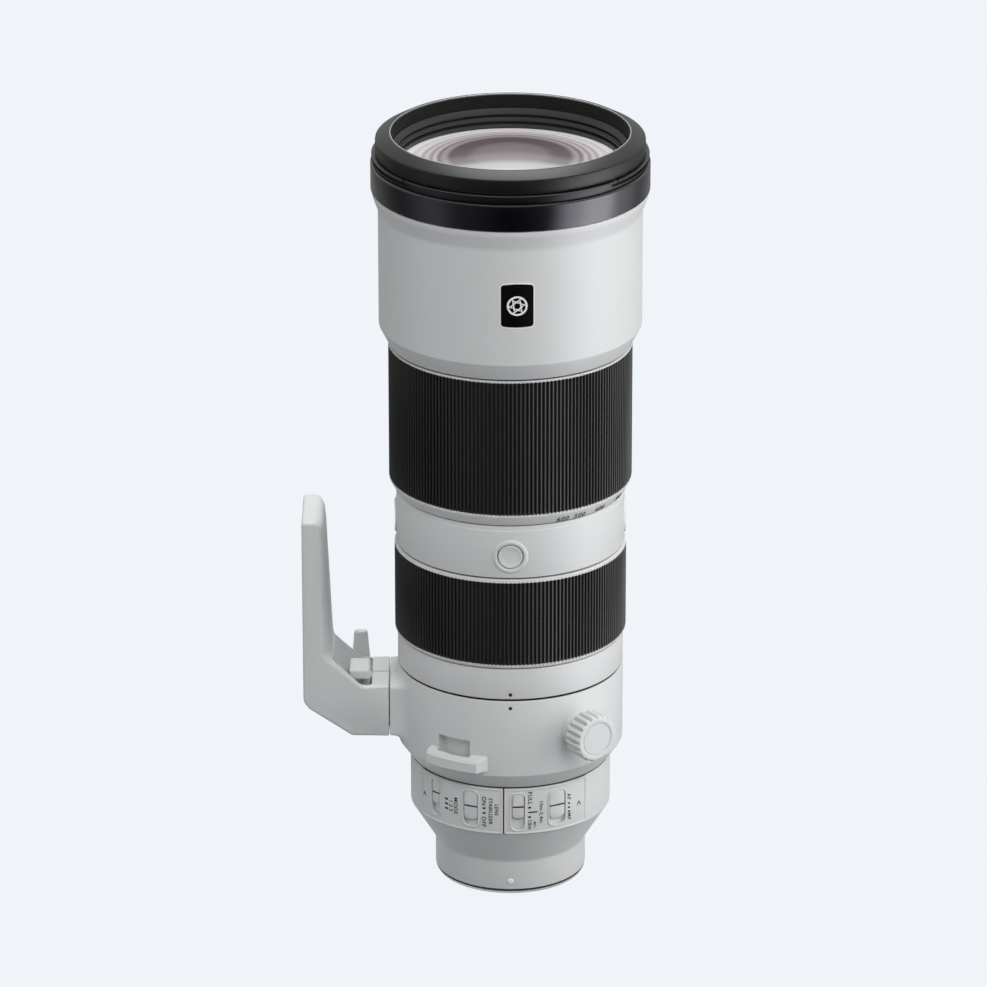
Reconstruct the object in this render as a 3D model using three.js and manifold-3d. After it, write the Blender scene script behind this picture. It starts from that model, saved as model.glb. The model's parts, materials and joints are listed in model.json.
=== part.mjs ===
// Super-telephoto zoom lens, standing upright on its bayonet, front glass up.
// Millimetres, +Z up. Heights in this file are measured from the mounting flange plane,
// and the lens group is lifted by the depth of the bayonet, which the lens stands on.
// Angles run from the front, -Y, towards +X.

import * as THREE from 'three';
import { mergeVertices } from 'three/addons/utils/BufferGeometryUtils.js';
import Module from 'manifold-3d';

const wasm = await Module();
wasm.setup();

// ---------------------------------------------------------------- driving dimensions

const GAP = 0.3;                // running gap between neighbouring pieces
const OUTER_STEPS = 32;         // facets round an outside ring
const INNER_STEPS = 20;         // facets round an inside ring
const SMALL_STEPS = 10;         // facets round a screw, pin or rail

const BAYONET_DEPTH = 2.5;      // from the flange plane to the rear face of the bayonet
const FLANGE_R = 29.9;
const BAYONET_R = 22.0;
const BAYONET_TAB_R = 23.4;
const BORE_R = 20.9;

const NECK_R = 30.85;           // white barrel just above the flange
const NECK_TOP = 14.9;
const REAR_R = 41.0;            // white barrel that carries the switch panels
const REAR_BOTTOM = 31.3;
const REAR_TOP = 52.0;

const COLLAR_R = 46.0;
const COLLAR_BOTTOM = 52.5;
const COLLAR_EDGE = 59.5;       // where the lower chamfer meets the straight side
const COLLAR_TOP = 92.4;
const INDEX_BOTTOM = 93.4;
const INDEX_TOP = 106.6;
const FOCUS_BOTTOM = 106.95;
const FOCUS_TOP = 145.8;
const FOCUS_GRIP_R = 47.04;
const MIDDLE_R = 46.3;
const MIDDLE_BOTTOM = 146.2;
const MIDDLE_TOP = 168.5;
const ZOOM_BOTTOM = 168.9;
const ZOOM_TOP = 231.4;
const ZOOM_SKIRT_TOP = 173.6;
const ZOOM_GRIP_R = 49.1;

const FRONT_BOTTOM = 231.8;
const FRONT_CONE_TOP = 239.3;
const FRONT_R = 52.85;
const FRONT_TOP = 295.8;
const BAND_R = 55.75;           // widest ring of the lens
const BAND_TOP = 310.7;
const BEZEL_R = 53.8;
const LENS_TOP = 319.2;
const FILTER_R = 47.5;          // bore of the filter thread

const TUBE_R = 42.0;            // inner structural tube
const TUBE_BORE = 40.3;
const TUBE_BOTTOM = 58.4;
const TUBE_TOP = 236.0;

const ZOOM_TURN = 63;           // degrees from the wide end to the long end
const ZOOM_TRAVEL = 24;         // slide of the zoom group over that turn
const ZOOM_GROUP_Z = 196;

const FOOT_REACH = 84.4;        // lens axis to the foot's mounting face
const FOOT_SEAM = 49.5;         // lens axis to the joint between foot and collar
const FOOT_WIDTH = 32.6;
const FOOT_BOTTOM = 64.3;
const FOOT_STEP = 86.3;         // top of the foot's block
const FOOT_TOP = 158.2;
const FOOT_RAIL_TOP = 82.0;
const LEVER_Z = 80.0;
const LEVER_X = -61.2;

const KNOB_ANGLE = 36;
const KNOB_Z = 77.0;
const KNOB_R = 10.0;

const LENS_X = (FOOT_REACH - BAND_R) / 2;   // centres the whole object on the origin

// ---------------------------------------------------------------- materials

const finish = (color, roughness, metalness = 0) =>
  new THREE.MeshStandardMaterial({ color, roughness, metalness });

const whitePaint = () => finish(0xdadcdb, 0.45);
const rubber = () => finish(0x1c1c1d, 0.85);
const glossBlack = () => finish(0x0b0b0e, 0.15);
const matteBlack = () => finish(0x1d1d1e, 0.7);
const steel = () => finish(0xb9bbbd, 0.3, 1);
const aluminium = () => finish(0x8d9094, 0.4, 1);
const brass = () => finish(0xb08d4a, 0.35, 1);
const glass = () => finish(0xcfc4cc, 0.05);
const board = () => finish(0x1f5a38, 0.5);

// ---------------------------------------------------------------- solid helpers

const radians = THREE.MathUtils.degToRad;

/** Turns a closed three.js geometry into a solid. */
function solid(geometry) {
  const bare = geometry.index ? geometry.clone() : mergeVertices(geometry.clone());
  bare.deleteAttribute('normal');
  bare.deleteAttribute('uv');
  const merged = mergeVertices(bare, 1e-4);
  return new wasm.Manifold(new wasm.Mesh({
    numProp: 3,
    vertProperties: Float32Array.from(merged.attributes.position.array),
    triVerts: Uint32Array.from(merged.index.array),
  }));
}

/** Turns a solid back into a geometry. */
function geometryOf(body) {
  const mesh = body.getMesh();
  const geometry = new THREE.BufferGeometry();
  geometry.setAttribute('position', new THREE.BufferAttribute(mesh.vertProperties, 3));
  geometry.setIndex(new THREE.BufferAttribute(mesh.triVerts, 1));
  geometry.computeVertexNormals();
  return geometry;
}

/** Spins a closed outline of [radius, height] pairs round Z. It runs up the outside. */
function spun(outline, steps = OUTER_STEPS) {
  const points = [...outline, outline[0]].map(([r, z]) => new THREE.Vector2(r, z));
  return solid(new THREE.LatheGeometry(points, steps).rotateX(Math.PI / 2));
}

/** A plain ring. */
function ring(inner, outer, bottom, top, steps = INNER_STEPS) {
  return spun([[inner, bottom], [outer, bottom], [outer, top], [inner, top]], steps);
}

/** A lens element with a convex or hollow face at each end. A sag is positive outwards. */
function lensElement(radius, bottom, top, sagBelow, sagAbove) {
  const arc = (z, sag) => [0.5, 0.85].map((part) => [radius * part, z + sag * (1 - part * part)]);
  const outline = [[0, bottom - sagBelow], ...arc(bottom, -sagBelow), [radius, bottom],
    [radius, top], ...arc(top, sagAbove).reverse(), [0, top + sagAbove]];
  const points = outline.map(([r, z]) => new THREE.Vector2(r, z));
  return solid(new THREE.LatheGeometry(points, INNER_STEPS).rotateX(Math.PI / 2));
}

/** A box between two corners. */
function box([x0, y0, z0], [x1, y1, z1]) {
  const shape = new THREE.BoxGeometry(x1 - x0, y1 - y0, z1 - z0);
  return solid(shape.translate((x0 + x1) / 2, (y0 + y1) / 2, (z0 + z1) / 2));
}

/** A curved block between two radii, two angles and two heights. */
function arcBlock(inner, outer, from, to, bottom, top) {
  const start = radians(from - 90);
  const end = radians(to - 90);
  const shape = new THREE.Shape();
  shape.absarc(0, 0, outer, start, end, false);
  shape.absarc(0, 0, inner, end, start, true);
  const steps = Math.max(2, Math.ceil((to - from) / 8));
  const options = { depth: top - bottom, bevelEnabled: false, curveSegments: steps };
  return solid(new THREE.ExtrudeGeometry(shape, options).translate(0, 0, bottom));
}

/** A cylinder whose axis is a radius of the lens at an angle and a height. */
function radialPin(radius, inner, outer, angle, z, steps = SMALL_STEPS) {
  const pin = new THREE.CylinderGeometry(radius, radius, outer - inner, steps);
  pin.rotateX(Math.PI).translate(0, -(inner + outer) / 2, 0);
  return solid(pin.rotateZ(radians(angle)).translate(0, 0, z));
}

/** A cylinder along Z at a place in the plan. */
function uprightPin(radius, x, y, bottom, top, steps = SMALL_STEPS) {
  const pin = new THREE.CylinderGeometry(radius, radius, top - bottom, steps);
  return solid(pin.rotateX(Math.PI / 2).translate(x, y, (bottom + top) / 2));
}

/** A cutter for a slot that climbs round the lens, of constant height at every angle. */
function helixCutter(inner, outer, fromAngle, toAngle, fromZ, toZ, halfHeight) {
  const steps = 8;
  const vertices = [];
  const faces = [];
  for (let i = 0; i <= steps; i += 1) {
    const angle = radians(fromAngle + ((toAngle - fromAngle) * i) / steps);
    const z = fromZ + ((toZ - fromZ) * i) / steps;
    for (const [r, dz] of [[inner, -1], [outer, -1], [outer, 1], [inner, 1]]) {
      vertices.push(r * Math.sin(angle), -r * Math.cos(angle), z + dz * halfHeight);
    }
  }
  for (let i = 0; i < steps; i += 1) {
    for (let k = 0; k < 4; k += 1) {
      const a = 4 * i + k;
      const b = 4 * i + ((k + 1) % 4);
      faces.push(a, b, b + 4, a, b + 4, a + 4);
    }
  }
  const end = 4 * steps;
  faces.push(0, 2, 1, 0, 3, 2, end, end + 1, end + 2, end, end + 2, end + 3);
  const geometry = new THREE.BufferGeometry();
  geometry.setAttribute('position', new THREE.Float32BufferAttribute(vertices, 3));
  geometry.setIndex(faces);
  return solid(geometry);
}

/** Places radius and angle in the plan. */
const plan = (radius, angle) => [
  radius * Math.sin(radians(angle)), -radius * Math.cos(radians(angle))];

const lens = new THREE.Group();
lens.position.set(LENS_X, 0, BAYONET_DEPTH);

function add(name, body, material) {
  const mesh = new THREE.Mesh(geometryOf(body), material);
  mesh.name = name;
  lens.add(mesh);
}

// ---------------------------------------------------------------- mount

const SCREW_CIRCLE = 26.4;
const SCREW_ANGLES = [45, 135, 225, 315];
const SCREW_R = 0.9;
const SCREW_HEAD_R = 1.8;

function addMount() {
  let bayonet = spun([
    [BORE_R, -BAYONET_DEPTH], [BAYONET_R, -BAYONET_DEPTH], [BAYONET_R, 0], [FLANGE_R, 0],
    [FLANGE_R, 1.0], [28.9, 1.0], [28.9, 1.9], [BORE_R, 1.9]]);
  for (const middle of [0, 120, 240]) {
    bayonet = bayonet.add(arcBlock(BAYONET_R - 0.8, BAYONET_TAB_R,
      middle - 26, middle + 26, -BAYONET_DEPTH, -BAYONET_DEPTH + 1.0));
  }
  for (const angle of SCREW_ANGLES) {
    const [x, y] = plan(SCREW_CIRCLE, angle);
    bayonet = bayonet.subtract(uprightPin(SCREW_HEAD_R + 0.4, x, y, -0.5, 1.2));
    bayonet = bayonet.subtract(uprightPin(SCREW_R + 0.35, x, y, 0.5, 2.5));
  }
  add('mount_bayonet', bayonet, steel());
  add('mount_gasket', ring(29.2, 30.6, 1.3, 1.9, OUTER_STEPS), rubber());
  SCREW_ANGLES.forEach((angle, index) => {
    const [x, y] = plan(SCREW_CIRCLE, angle);
    const head = uprightPin(SCREW_HEAD_R, x, y, 0.1, 0.9, 8);
    add(`mount_screw_${index + 1}`, head.add(uprightPin(SCREW_R, x, y, 0.8, 6.0, 8)), steel());
  });
  add('contact_block', arcBlock(17.2, 20.4, -35, 35, -2.2, 1.0), matteBlack());
  const baffle = uprightPin(20.4, 0, 0, -1.6, 1.0, INNER_STEPS)
    .subtract(box([-13, -9.5, -2], [13, 9.5, 2]))
    .subtract(arcBlock(16.8, 22, -38, 38, -2, 2));
  add('rear_baffle', baffle, matteBlack());
  add('rear_lens_cell', ring(18.3, 22.8, 4.0, 18.0), matteBlack());
  add('rear_element', lensElement(17.9, 6.5, 13.0, 2.0, 1.5), glass());
}

// ---------------------------------------------------------------- rear barrel and switches

const PANEL_R = 41.6;
const PANEL_BOTTOM = 31.8;
const PANEL_TOP = 51.9;
const PANEL_LEFT = -60.4;
const PANEL_SPLIT = -3.9;
const PANEL_RIGHT = 48.0;

// Each switch: slot angles, slot heights and how far the slider runs.
const SWITCHES = [
  { name: 'mode_switch', from: -51.2, to: -42.5, bottom: 34.6, top: 50.8, travel: 5.0 },
  { name: 'stabiliser_switch', from: -28.4, to: -17.4, bottom: 34.0, top: 50.2, travel: 3.0 },
  { name: 'focus_range_switch', from: -0.4, to: 9.1, bottom: 33.3, top: 50.2, travel: 5.3 },
  { name: 'focus_mode_switch', from: 21.2, to: 33.4, bottom: 34.0, top: 50.0, travel: 3.0 },
];

function addRearBarrel() {
  let barrel = spun([
    [23.3, 2.2], [NECK_R, 2.2], [NECK_R, NECK_TOP], [REAR_R, REAR_BOTTOM], [REAR_R, REAR_TOP],
    [39.4, REAR_TOP], [39.4, 62.0], [37.8, 62.0], [37.8, 32.0], [28.6, 15.5], [28.6, 8.0],
    [23.3, 8.0]]);
  barrel = barrel.subtract(
    arcBlock(40.2, 43, PANEL_LEFT - 0.4, PANEL_RIGHT + 0.4, PANEL_BOTTOM - GAP, REAR_TOP + 1));
  for (const angle of SCREW_ANGLES) {
    const [x, y] = plan(SCREW_CIRCLE, angle);
    barrel = barrel.subtract(uprightPin(SCREW_R + 0.35, x, y, 1.5, 6.6));
  }
  let panels = [[PANEL_LEFT, PANEL_SPLIT - 0.3], [PANEL_SPLIT + 0.3, PANEL_RIGHT]]
    .map(([from, to]) => arcBlock(40.6, PANEL_R, from, to, PANEL_BOTTOM, PANEL_TOP));
  for (const { name, from, to, bottom, top, travel } of SWITCHES) {
    const slot = arcBlock(37, 43, from, to, bottom, top);
    barrel = barrel.subtract(slot);
    panels = panels.map((panel) => panel.subtract(slot));
    const clearance = 0.6;
    add(name, arcBlock(38.9, 41.9, from + clearance, to - clearance,
      bottom + GAP + travel, top - GAP), whitePaint());
  }
  add('rear_barrel', barrel, whitePaint());
  add('switch_panel_left', panels[0], whitePaint());
  add('switch_panel_right', panels[1], whitePaint());
  const circuit = ring(24.5, 37.4, 40.0, 41.2).subtract(box([-6, 20, 39], [6, 40, 42]));
  add('main_board', circuit, board());
}

// ---------------------------------------------------------------- fixed tubes and rings

const BUTTON_Z = 155.6;
const BUTTON_R = 4.9;
const BUTTONS = { left: -90, front: 0, right: 90 };
const FOLLOWER_ANGLES = [45, 165, 285];
const FOLLOWER_R = 1.2;
const SLOT_HALF = 2.4;          // degrees either side of a follower's straight slot

function addFixedTubes() {
  let tube = ring(TUBE_BORE, TUBE_R, TUBE_BOTTOM, TUBE_TOP);
  for (const angle of FOLLOWER_ANGLES) {
    tube = tube.subtract(arcBlock(TUBE_BORE - 2, TUBE_R + 2, angle - SLOT_HALF,
      angle + SLOT_HALF, ZOOM_GROUP_Z - 3, ZOOM_GROUP_Z + ZOOM_TRAVEL + 3));
  }
  add('main_tube', tube, aluminium());
  add('index_ring', ring(43.0, 45.95, INDEX_BOTTOM, INDEX_TOP, OUTER_STEPS), whitePaint());

  let middle = ring(43.0, MIDDLE_R, MIDDLE_BOTTOM, MIDDLE_TOP, OUTER_STEPS);
  for (const angle of Object.values(BUTTONS)) {
    middle = middle.add(radialPin(7.1, 44.5, MIDDLE_R + 0.45, angle, BUTTON_Z, 20));
  }
  for (const [side, angle] of Object.entries(BUTTONS)) {
    middle = middle.subtract(radialPin(BUTTON_R + GAP, 42, 48, angle, BUTTON_Z, 16));
    add(`hold_button_${side}`, radialPin(BUTTON_R, 43.4, 46.9, angle, BUTTON_Z, 16),
      whitePaint());
  }
  add('middle_barrel', middle, whitePaint());
}

// ---------------------------------------------------------------- zoom ring and zoom group

function addZoom() {
  add('zoom_ring', spun([
    [44.3, ZOOM_BOTTOM], [46.5, ZOOM_BOTTOM], [48.9, ZOOM_SKIRT_TOP], [47.5, ZOOM_SKIRT_TOP],
    [47.5, ZOOM_TOP - 0.5], [49.0, ZOOM_TOP - 0.5], [49.0, ZOOM_TOP], [44.3, ZOOM_TOP]]),
  whitePaint());
  add('zoom_grip', ring(47.8, ZOOM_GRIP_R, ZOOM_SKIRT_TOP + GAP, ZOOM_TOP - 0.8, OUTER_STEPS),
    rubber());

  let cam = ring(42.5, 43.8, 175, 228, OUTER_STEPS);
  let cell = ring(34.4, 39.7, ZOOM_GROUP_Z - 8, ZOOM_GROUP_Z + 8);
  FOLLOWER_ANGLES.forEach((angle, index) => {
    cam = cam.subtract(helixCutter(41, 45, angle + 3, angle - ZOOM_TURN - 3,
      ZOOM_GROUP_Z - 1.1, ZOOM_GROUP_Z + ZOOM_TRAVEL + 1.1, 3.2));
    cell = cell.subtract(radialPin(FOLLOWER_R + GAP, 36.5, 41, angle, ZOOM_GROUP_Z));
    add(`cam_follower_${index + 1}`,
      radialPin(FOLLOWER_R, 37.0, 43.4, angle, ZOOM_GROUP_Z, 10), brass());
  });
  add('cam_tube', cam, aluminium());
  add('zoom_cell', cell, matteBlack());
  add('zoom_element', lensElement(34.0, ZOOM_GROUP_Z - 4, ZOOM_GROUP_Z + 5, -2.5, 3.0), glass());
}

// ---------------------------------------------------------------- focus ring and focus group

const RAIL_CIRCLE = 34.0;
const RAIL_ANGLES = [-45, 135];
const RAIL_R = 1.5;

function addFocus() {
  add('focus_ring', spun([
    [44.0, FOCUS_BOTTOM], [46.4, FOCUS_BOTTOM], [46.4, FOCUS_BOTTOM + 1.05],
    [45.6, FOCUS_BOTTOM + 1.05], [45.6, FOCUS_TOP - 1.0], [46.4, FOCUS_TOP - 1.0],
    [46.4, FOCUS_TOP], [44.0, FOCUS_TOP]]), whitePaint());
  add('focus_grip', ring(45.95, FOCUS_GRIP_R, FOCUS_BOTTOM + 1.35, FOCUS_TOP - 1.3, OUTER_STEPS),
    rubber());

  let base = ring(24.0, 39.7, 92.0, 95.0);
  let cell = ring(26.4, 38.6, 112.0, 122.0);
  RAIL_ANGLES.forEach((angle, index) => {
    const [x, y] = plan(RAIL_CIRCLE, angle);
    base = base.subtract(uprightPin(RAIL_R + GAP, x, y, 91, 96));
    cell = cell.subtract(uprightPin(RAIL_R + GAP, x, y, 111, 123));
    add(`focus_rail_${index + 1}`, uprightPin(RAIL_R, x, y, 92.4, 150, 10), steel());
  });
  const motorNotch = box([24.0, -7.5, 110], [41, 7.5, 124]);
  add('focus_base', base, matteBlack());
  add('focus_cell', cell.subtract(motorNotch), matteBlack());
  add('focus_motor', box([29.5, -6.5, 95.4], [37.5, 6.5, 145]), matteBlack());
  add('focus_element', lensElement(26.0, 114.0, 119.0, 1.5, -1.0), glass());
  add('iris_unit', ring(16.0, 39.7, 157.0, 163.0, 11), matteBlack());
}

// ---------------------------------------------------------------- stabiliser

function addStabiliser() {
  const carriage = ring(30.0, 37.5, 70.0, 76.0);
  add('stabiliser_carriage', carriage, aluminium());
  add('stabiliser_cell', ring(23.4, 28.4, 68.0, 78.0), matteBlack());
  add('stabiliser_element', lensElement(23.0, 70.0, 75.0, 1.5, 1.5), glass());
}

// ---------------------------------------------------------------- front barrel and front glass

const BADGE_ANGLE = 2.9;
const BADGE_HALF = 6.8;         // degrees
const BADGE_BOTTOM = 255.7;
const BADGE_TOP = 273.3;

function addFront() {
  const barrel = spun([
    [42.4, FRONT_BOTTOM], [49.0, FRONT_BOTTOM], [FRONT_R, FRONT_CONE_TOP], [FRONT_R, 289.0],
    [54.8, 293.1], [55.5, FRONT_TOP], [50.3, FRONT_TOP], [50.3, 241.0], [47.5, 237.0],
    [42.4, 237.0]]);
  add('front_barrel', barrel.subtract(arcBlock(52.0, 54.0, BADGE_ANGLE - BADGE_HALF - 0.4,
    BADGE_ANGLE + BADGE_HALF + 0.4, BADGE_BOTTOM - GAP, BADGE_TOP + GAP)), whitePaint());
  add('badge_plate', arcBlock(52.3, 53.0, BADGE_ANGLE - BADGE_HALF, BADGE_ANGLE + BADGE_HALF,
    BADGE_BOTTOM, BADGE_TOP), glossBlack());

  let band = spun([
    [51.2, FRONT_TOP + GAP], [BAND_R, FRONT_TOP + GAP], [BAND_R, 306.6], [55.0, 307.4],
    [55.3, 308.0], [55.3, BAND_TOP], [51.2, BAND_TOP]]);
  for (const side of [-1, 1]) {
    const [from, to] = [side * 46, side * 92].sort((a, b) => a - b);
    band = band.subtract(arcBlock(54.4, 57, from, to, 308.4, 309.9));
  }
  add('hood_ring', band, glossBlack());
  add('front_rim', spun([
    [FILTER_R, 304.0], [50.8, 304.0], [50.8, BAND_TOP + GAP], [BEZEL_R, BAND_TOP + GAP],
    [BEZEL_R, 316.8], [48.9, LENS_TOP], [47.9, LENS_TOP], [FILTER_R, 318.8]]), matteBlack());
  add('retaining_ring', spun([
    [44.4, 305.6], [47.1, 305.6], [47.1, 313.3], [46.5, 313.3], [45.6, 311.2], [45.6, 309.2],
    [44.6, 308.6]]), matteBlack());
  add('front_lens_cell', spun([
    [42.6, 287.0], [49.9, 287.0], [49.9, 303.6], [45.6, 303.6], [45.6, 290.0], [42.6, 290.0]],
  INNER_STEPS), aluminium());
  add('front_element', lensElement(45.1, 291.0, 304.6, -1.5, 5.0), glass());
}

// ---------------------------------------------------------------- tripod collar

const LUG_ANGLES = [-44, -35.6, -19.6, -11.5];
const LUG_BOTTOM = 61.0;
const LUG_TOP = 68.0;
const LUG_R = 49.8;
const POCKET_R = 44.2;          // floor of the pocket behind each lug
const POCKET_TOP = 73.8;

function addCollar() {
  const half = FOOT_WIDTH / 2;
  const base = box([-FOOT_SEAM + GAP, -half, FOOT_BOTTOM], [-40.5, half, FOOT_STEP]);
  const bore = ring(0.01, 42.6, COLLAR_BOTTOM - 1, COLLAR_TOP + 1, OUTER_STEPS);
  const tongue = new THREE.Shape();
  tongue.moveTo(-FOOT_SEAM + 1, -6.5);
  tongue.lineTo(-FOOT_SEAM + 1, 6.5);
  tongue.lineTo(-FOOT_SEAM - 3.6, 9.0);
  tongue.lineTo(-FOOT_SEAM - 3.6, -9.0);
  const rail = solid(new THREE.ExtrudeGeometry(tongue,
    { depth: FOOT_RAIL_TOP - 64.8, bevelEnabled: false }).translate(0, 0, 64.8));
  let collar = spun([
    [40.6, COLLAR_BOTTOM], [40.9, COLLAR_BOTTOM], [COLLAR_R, COLLAR_EDGE],
    [COLLAR_R, COLLAR_TOP], [42.6, COLLAR_TOP], [42.6, 57.9], [40.6, 57.5]]);
  collar = collar.add(base.subtract(bore)).add(rail);
  collar = collar.add(radialPin(7.5, 43.5, 48.5, KNOB_ANGLE, KNOB_Z, 16));
  collar = collar.subtract(radialPin(2.6, 40, 50, KNOB_ANGLE, KNOB_Z));

  const places = { front: LUG_ANGLES, back: LUG_ANGLES.map((angle) => 180 - angle).reverse() };
  for (const [side, [start, slotStart, slotEnd, end]] of Object.entries(places)) {
    const lug = arcBlock(46.4, LUG_R, start, end, LUG_BOTTOM, LUG_TOP)
      .subtract(arcBlock(46.0, 48.4, slotStart, slotEnd, LUG_BOTTOM - 1, LUG_TOP + 1));
    add(`strap_lug_${side}`, lug, whitePaint());
    collar = collar.subtract(
      arcBlock(POCKET_R, 47, slotStart, slotEnd, LUG_BOTTOM - 0.5, POCKET_TOP));
  }
  add('tripod_collar', collar, whitePaint());

  const knob = radialPin(KNOB_R, 48.8, 59.7, KNOB_ANGLE, KNOB_Z, 20);
  const face = radialPin(7.2, 59.1, 60, KNOB_ANGLE, KNOB_Z, 20);
  const socket = radialPin(2.6, 48, 54, KNOB_ANGLE, KNOB_Z);
  add('collar_knob', knob.subtract(face).subtract(socket), whitePaint());
  add('collar_clamp_screw', radialPin(2.2, 43.2, 53.7, KNOB_ANGLE, KNOB_Z, 10), steel());
}

// ---------------------------------------------------------------- foot

const INSERT_Z = 118;

function addFoot() {
  const bevel = 1.6;
  const outline = new THREE.Shape();
  const corners = [
    [-FOOT_SEAM - bevel, FOOT_BOTTOM + bevel], [-FOOT_SEAM - bevel, FOOT_STEP - bevel],
    [-61.0, FOOT_STEP - bevel], [-72.9 - bevel, 98.5], [-75.4 - bevel, 150.0],
    [-76.2 - bevel, FOOT_TOP - bevel], [-FOOT_REACH + bevel, FOOT_TOP - bevel],
    [-FOOT_REACH + bevel, 79.0], [-82.0 + bevel, 76.5], [-64.7, FOOT_BOTTOM + bevel]];
  corners.forEach(([x, z], index) => (index ? outline.lineTo(x, z) : outline.moveTo(x, z)));
  const options = {
    depth: FOOT_WIDTH - 2 * bevel, bevelSize: bevel, bevelThickness: bevel, bevelSegments: 1 };
  const blank = solid(new THREE.ExtrudeGeometry(outline, options)
    .translate(0, 0, -FOOT_WIDTH / 2 + bevel).rotateX(Math.PI / 2));

  const groove = new THREE.Shape();
  groove.moveTo(-FOOT_SEAM + 1, -7.0);
  groove.lineTo(-FOOT_SEAM + 1, 7.0);
  groove.lineTo(-FOOT_SEAM - 4.0, 9.6);
  groove.lineTo(-FOOT_SEAM - 4.0, -9.6);
  const channel = solid(new THREE.ExtrudeGeometry(groove,
    { depth: 22.3, bevelEnabled: false }).translate(0, 0, FOOT_RAIL_TOP + GAP - 22.3));
  const pocket = box([-67.2, -14.4, 72.0], [-56.5, 14.4, 110]);
  const alongX = (radius, from, to, z) => solid(
    new THREE.CylinderGeometry(radius, radius, to - from, SMALL_STEPS)
      .rotateZ(Math.PI / 2).translate((from + to) / 2, 0, z));
  const window = box([-65.2, 13.0, 74.2], [-57.2, 18.0, 83.4]);
  const foot = blank.subtract(channel).subtract(pocket).subtract(window)
    .subtract(alongX(4.8, -FOOT_REACH - 1, -FOOT_REACH + 8.6, INSERT_Z));
  add('tripod_foot', foot, whitePaint());
  add('foot_thread_insert', alongX(4.5, -FOOT_REACH + 0.2, -FOOT_REACH + 8.2, INSERT_Z)
    .subtract(alongX(3.2, -FOOT_REACH - 1, -FOOT_REACH + 7.0, INSERT_Z)), brass());

  const hub = alongX(3.8, LEVER_X - 4.3, LEVER_X + 4.3, LEVER_Z);
  const stem = box([LEVER_X - 1.0, -7.0, LEVER_Z], [LEVER_X + 4.0, 1.0, 88.0]);
  const pad = box([LEVER_X - 4.7, -12.5, 87.6], [LEVER_X + 4.0, 1.0, 92.0]);
  const link = box([LEVER_X - 3.0, 0, 77.8], [LEVER_X + 3.0, 20.6, 81.8]);
  const tab = box([LEVER_X - 4.6, 17.2, 77.8], [LEVER_X + 4.0, 20.6, 96.8]);
  add('foot_lever', hub.add(stem).add(pad).add(link).add(tab), whitePaint());
}

addMount();
addRearBarrel();
addFixedTubes();
addZoom();
addFocus();
addStabiliser();
addFront();
addCollar();
addFoot();

const object = new THREE.Group();
object.add(lens);

export default object;
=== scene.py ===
"""A super-telephoto zoom lens, modelled and finished round its frame.

Pieces are modelled in millimetres in the lens's own frame: the lens axis is the Z axis, heights
are measured from the mounting flange, and angles run from the front, -Y, towards +X. Each
finished piece is then set into the frame, which is in metres.
"""

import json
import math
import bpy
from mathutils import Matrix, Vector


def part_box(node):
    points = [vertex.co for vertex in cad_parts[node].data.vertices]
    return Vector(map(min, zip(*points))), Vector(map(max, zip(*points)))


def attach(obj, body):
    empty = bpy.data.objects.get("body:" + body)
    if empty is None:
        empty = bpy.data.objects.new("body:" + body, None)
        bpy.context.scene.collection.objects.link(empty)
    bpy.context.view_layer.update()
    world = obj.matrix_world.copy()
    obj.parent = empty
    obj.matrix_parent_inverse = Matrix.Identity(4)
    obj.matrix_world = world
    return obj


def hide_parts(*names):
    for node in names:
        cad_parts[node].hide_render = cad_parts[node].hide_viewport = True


bl_info = {
    "name": "Telephoto Lens",
    "version": (1, 0, 0),
    "blender": (4, 5, 0),
    "location": "View3D > Sidebar > Lens",
    "description": "Models and finishes a super-telephoto zoom lens round its frame",
    "category": "Add Mesh",
}

import bpy
from bpy.props import FloatProperty, FloatVectorProperty, IntProperty, PointerProperty
from mathutils import Matrix, Vector

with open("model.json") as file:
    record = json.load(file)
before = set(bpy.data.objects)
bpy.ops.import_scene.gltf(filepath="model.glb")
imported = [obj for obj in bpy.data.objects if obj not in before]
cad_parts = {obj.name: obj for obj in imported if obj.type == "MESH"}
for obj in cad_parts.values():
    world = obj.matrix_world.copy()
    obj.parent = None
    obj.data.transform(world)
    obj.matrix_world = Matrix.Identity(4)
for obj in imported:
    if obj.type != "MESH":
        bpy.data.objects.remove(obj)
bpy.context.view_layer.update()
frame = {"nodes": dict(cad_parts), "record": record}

MM = 0.001
MOUNTS = {mount["name"]: mount for mount in frame["record"]["mounts"]}
FLANGE = MOUNTS["camera_flange"]["pos_m"][2]
AXIS_X = sum(corner[0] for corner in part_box("hood_ring")) / 2
INTO_FRAME = Matrix.Translation((AXIS_X, 0, FLANGE)) @ Matrix.Scale(MM, 4)


class Span:
    """A ring's outside radius and its two heights, in millimetres."""

    def __init__(self, node):
        low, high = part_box(node)
        self.radius = (high[1] - low[1]) / 2 / MM
        self.bottom = (low[2] - FLANGE) / MM
        self.top = (high[2] - FLANGE) / MM
        self.left = (low[0] - AXIS_X) / MM
        self.right = (high[0] - AXIS_X) / MM


# ------------------------------------------------------------------ sizes and colours


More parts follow.
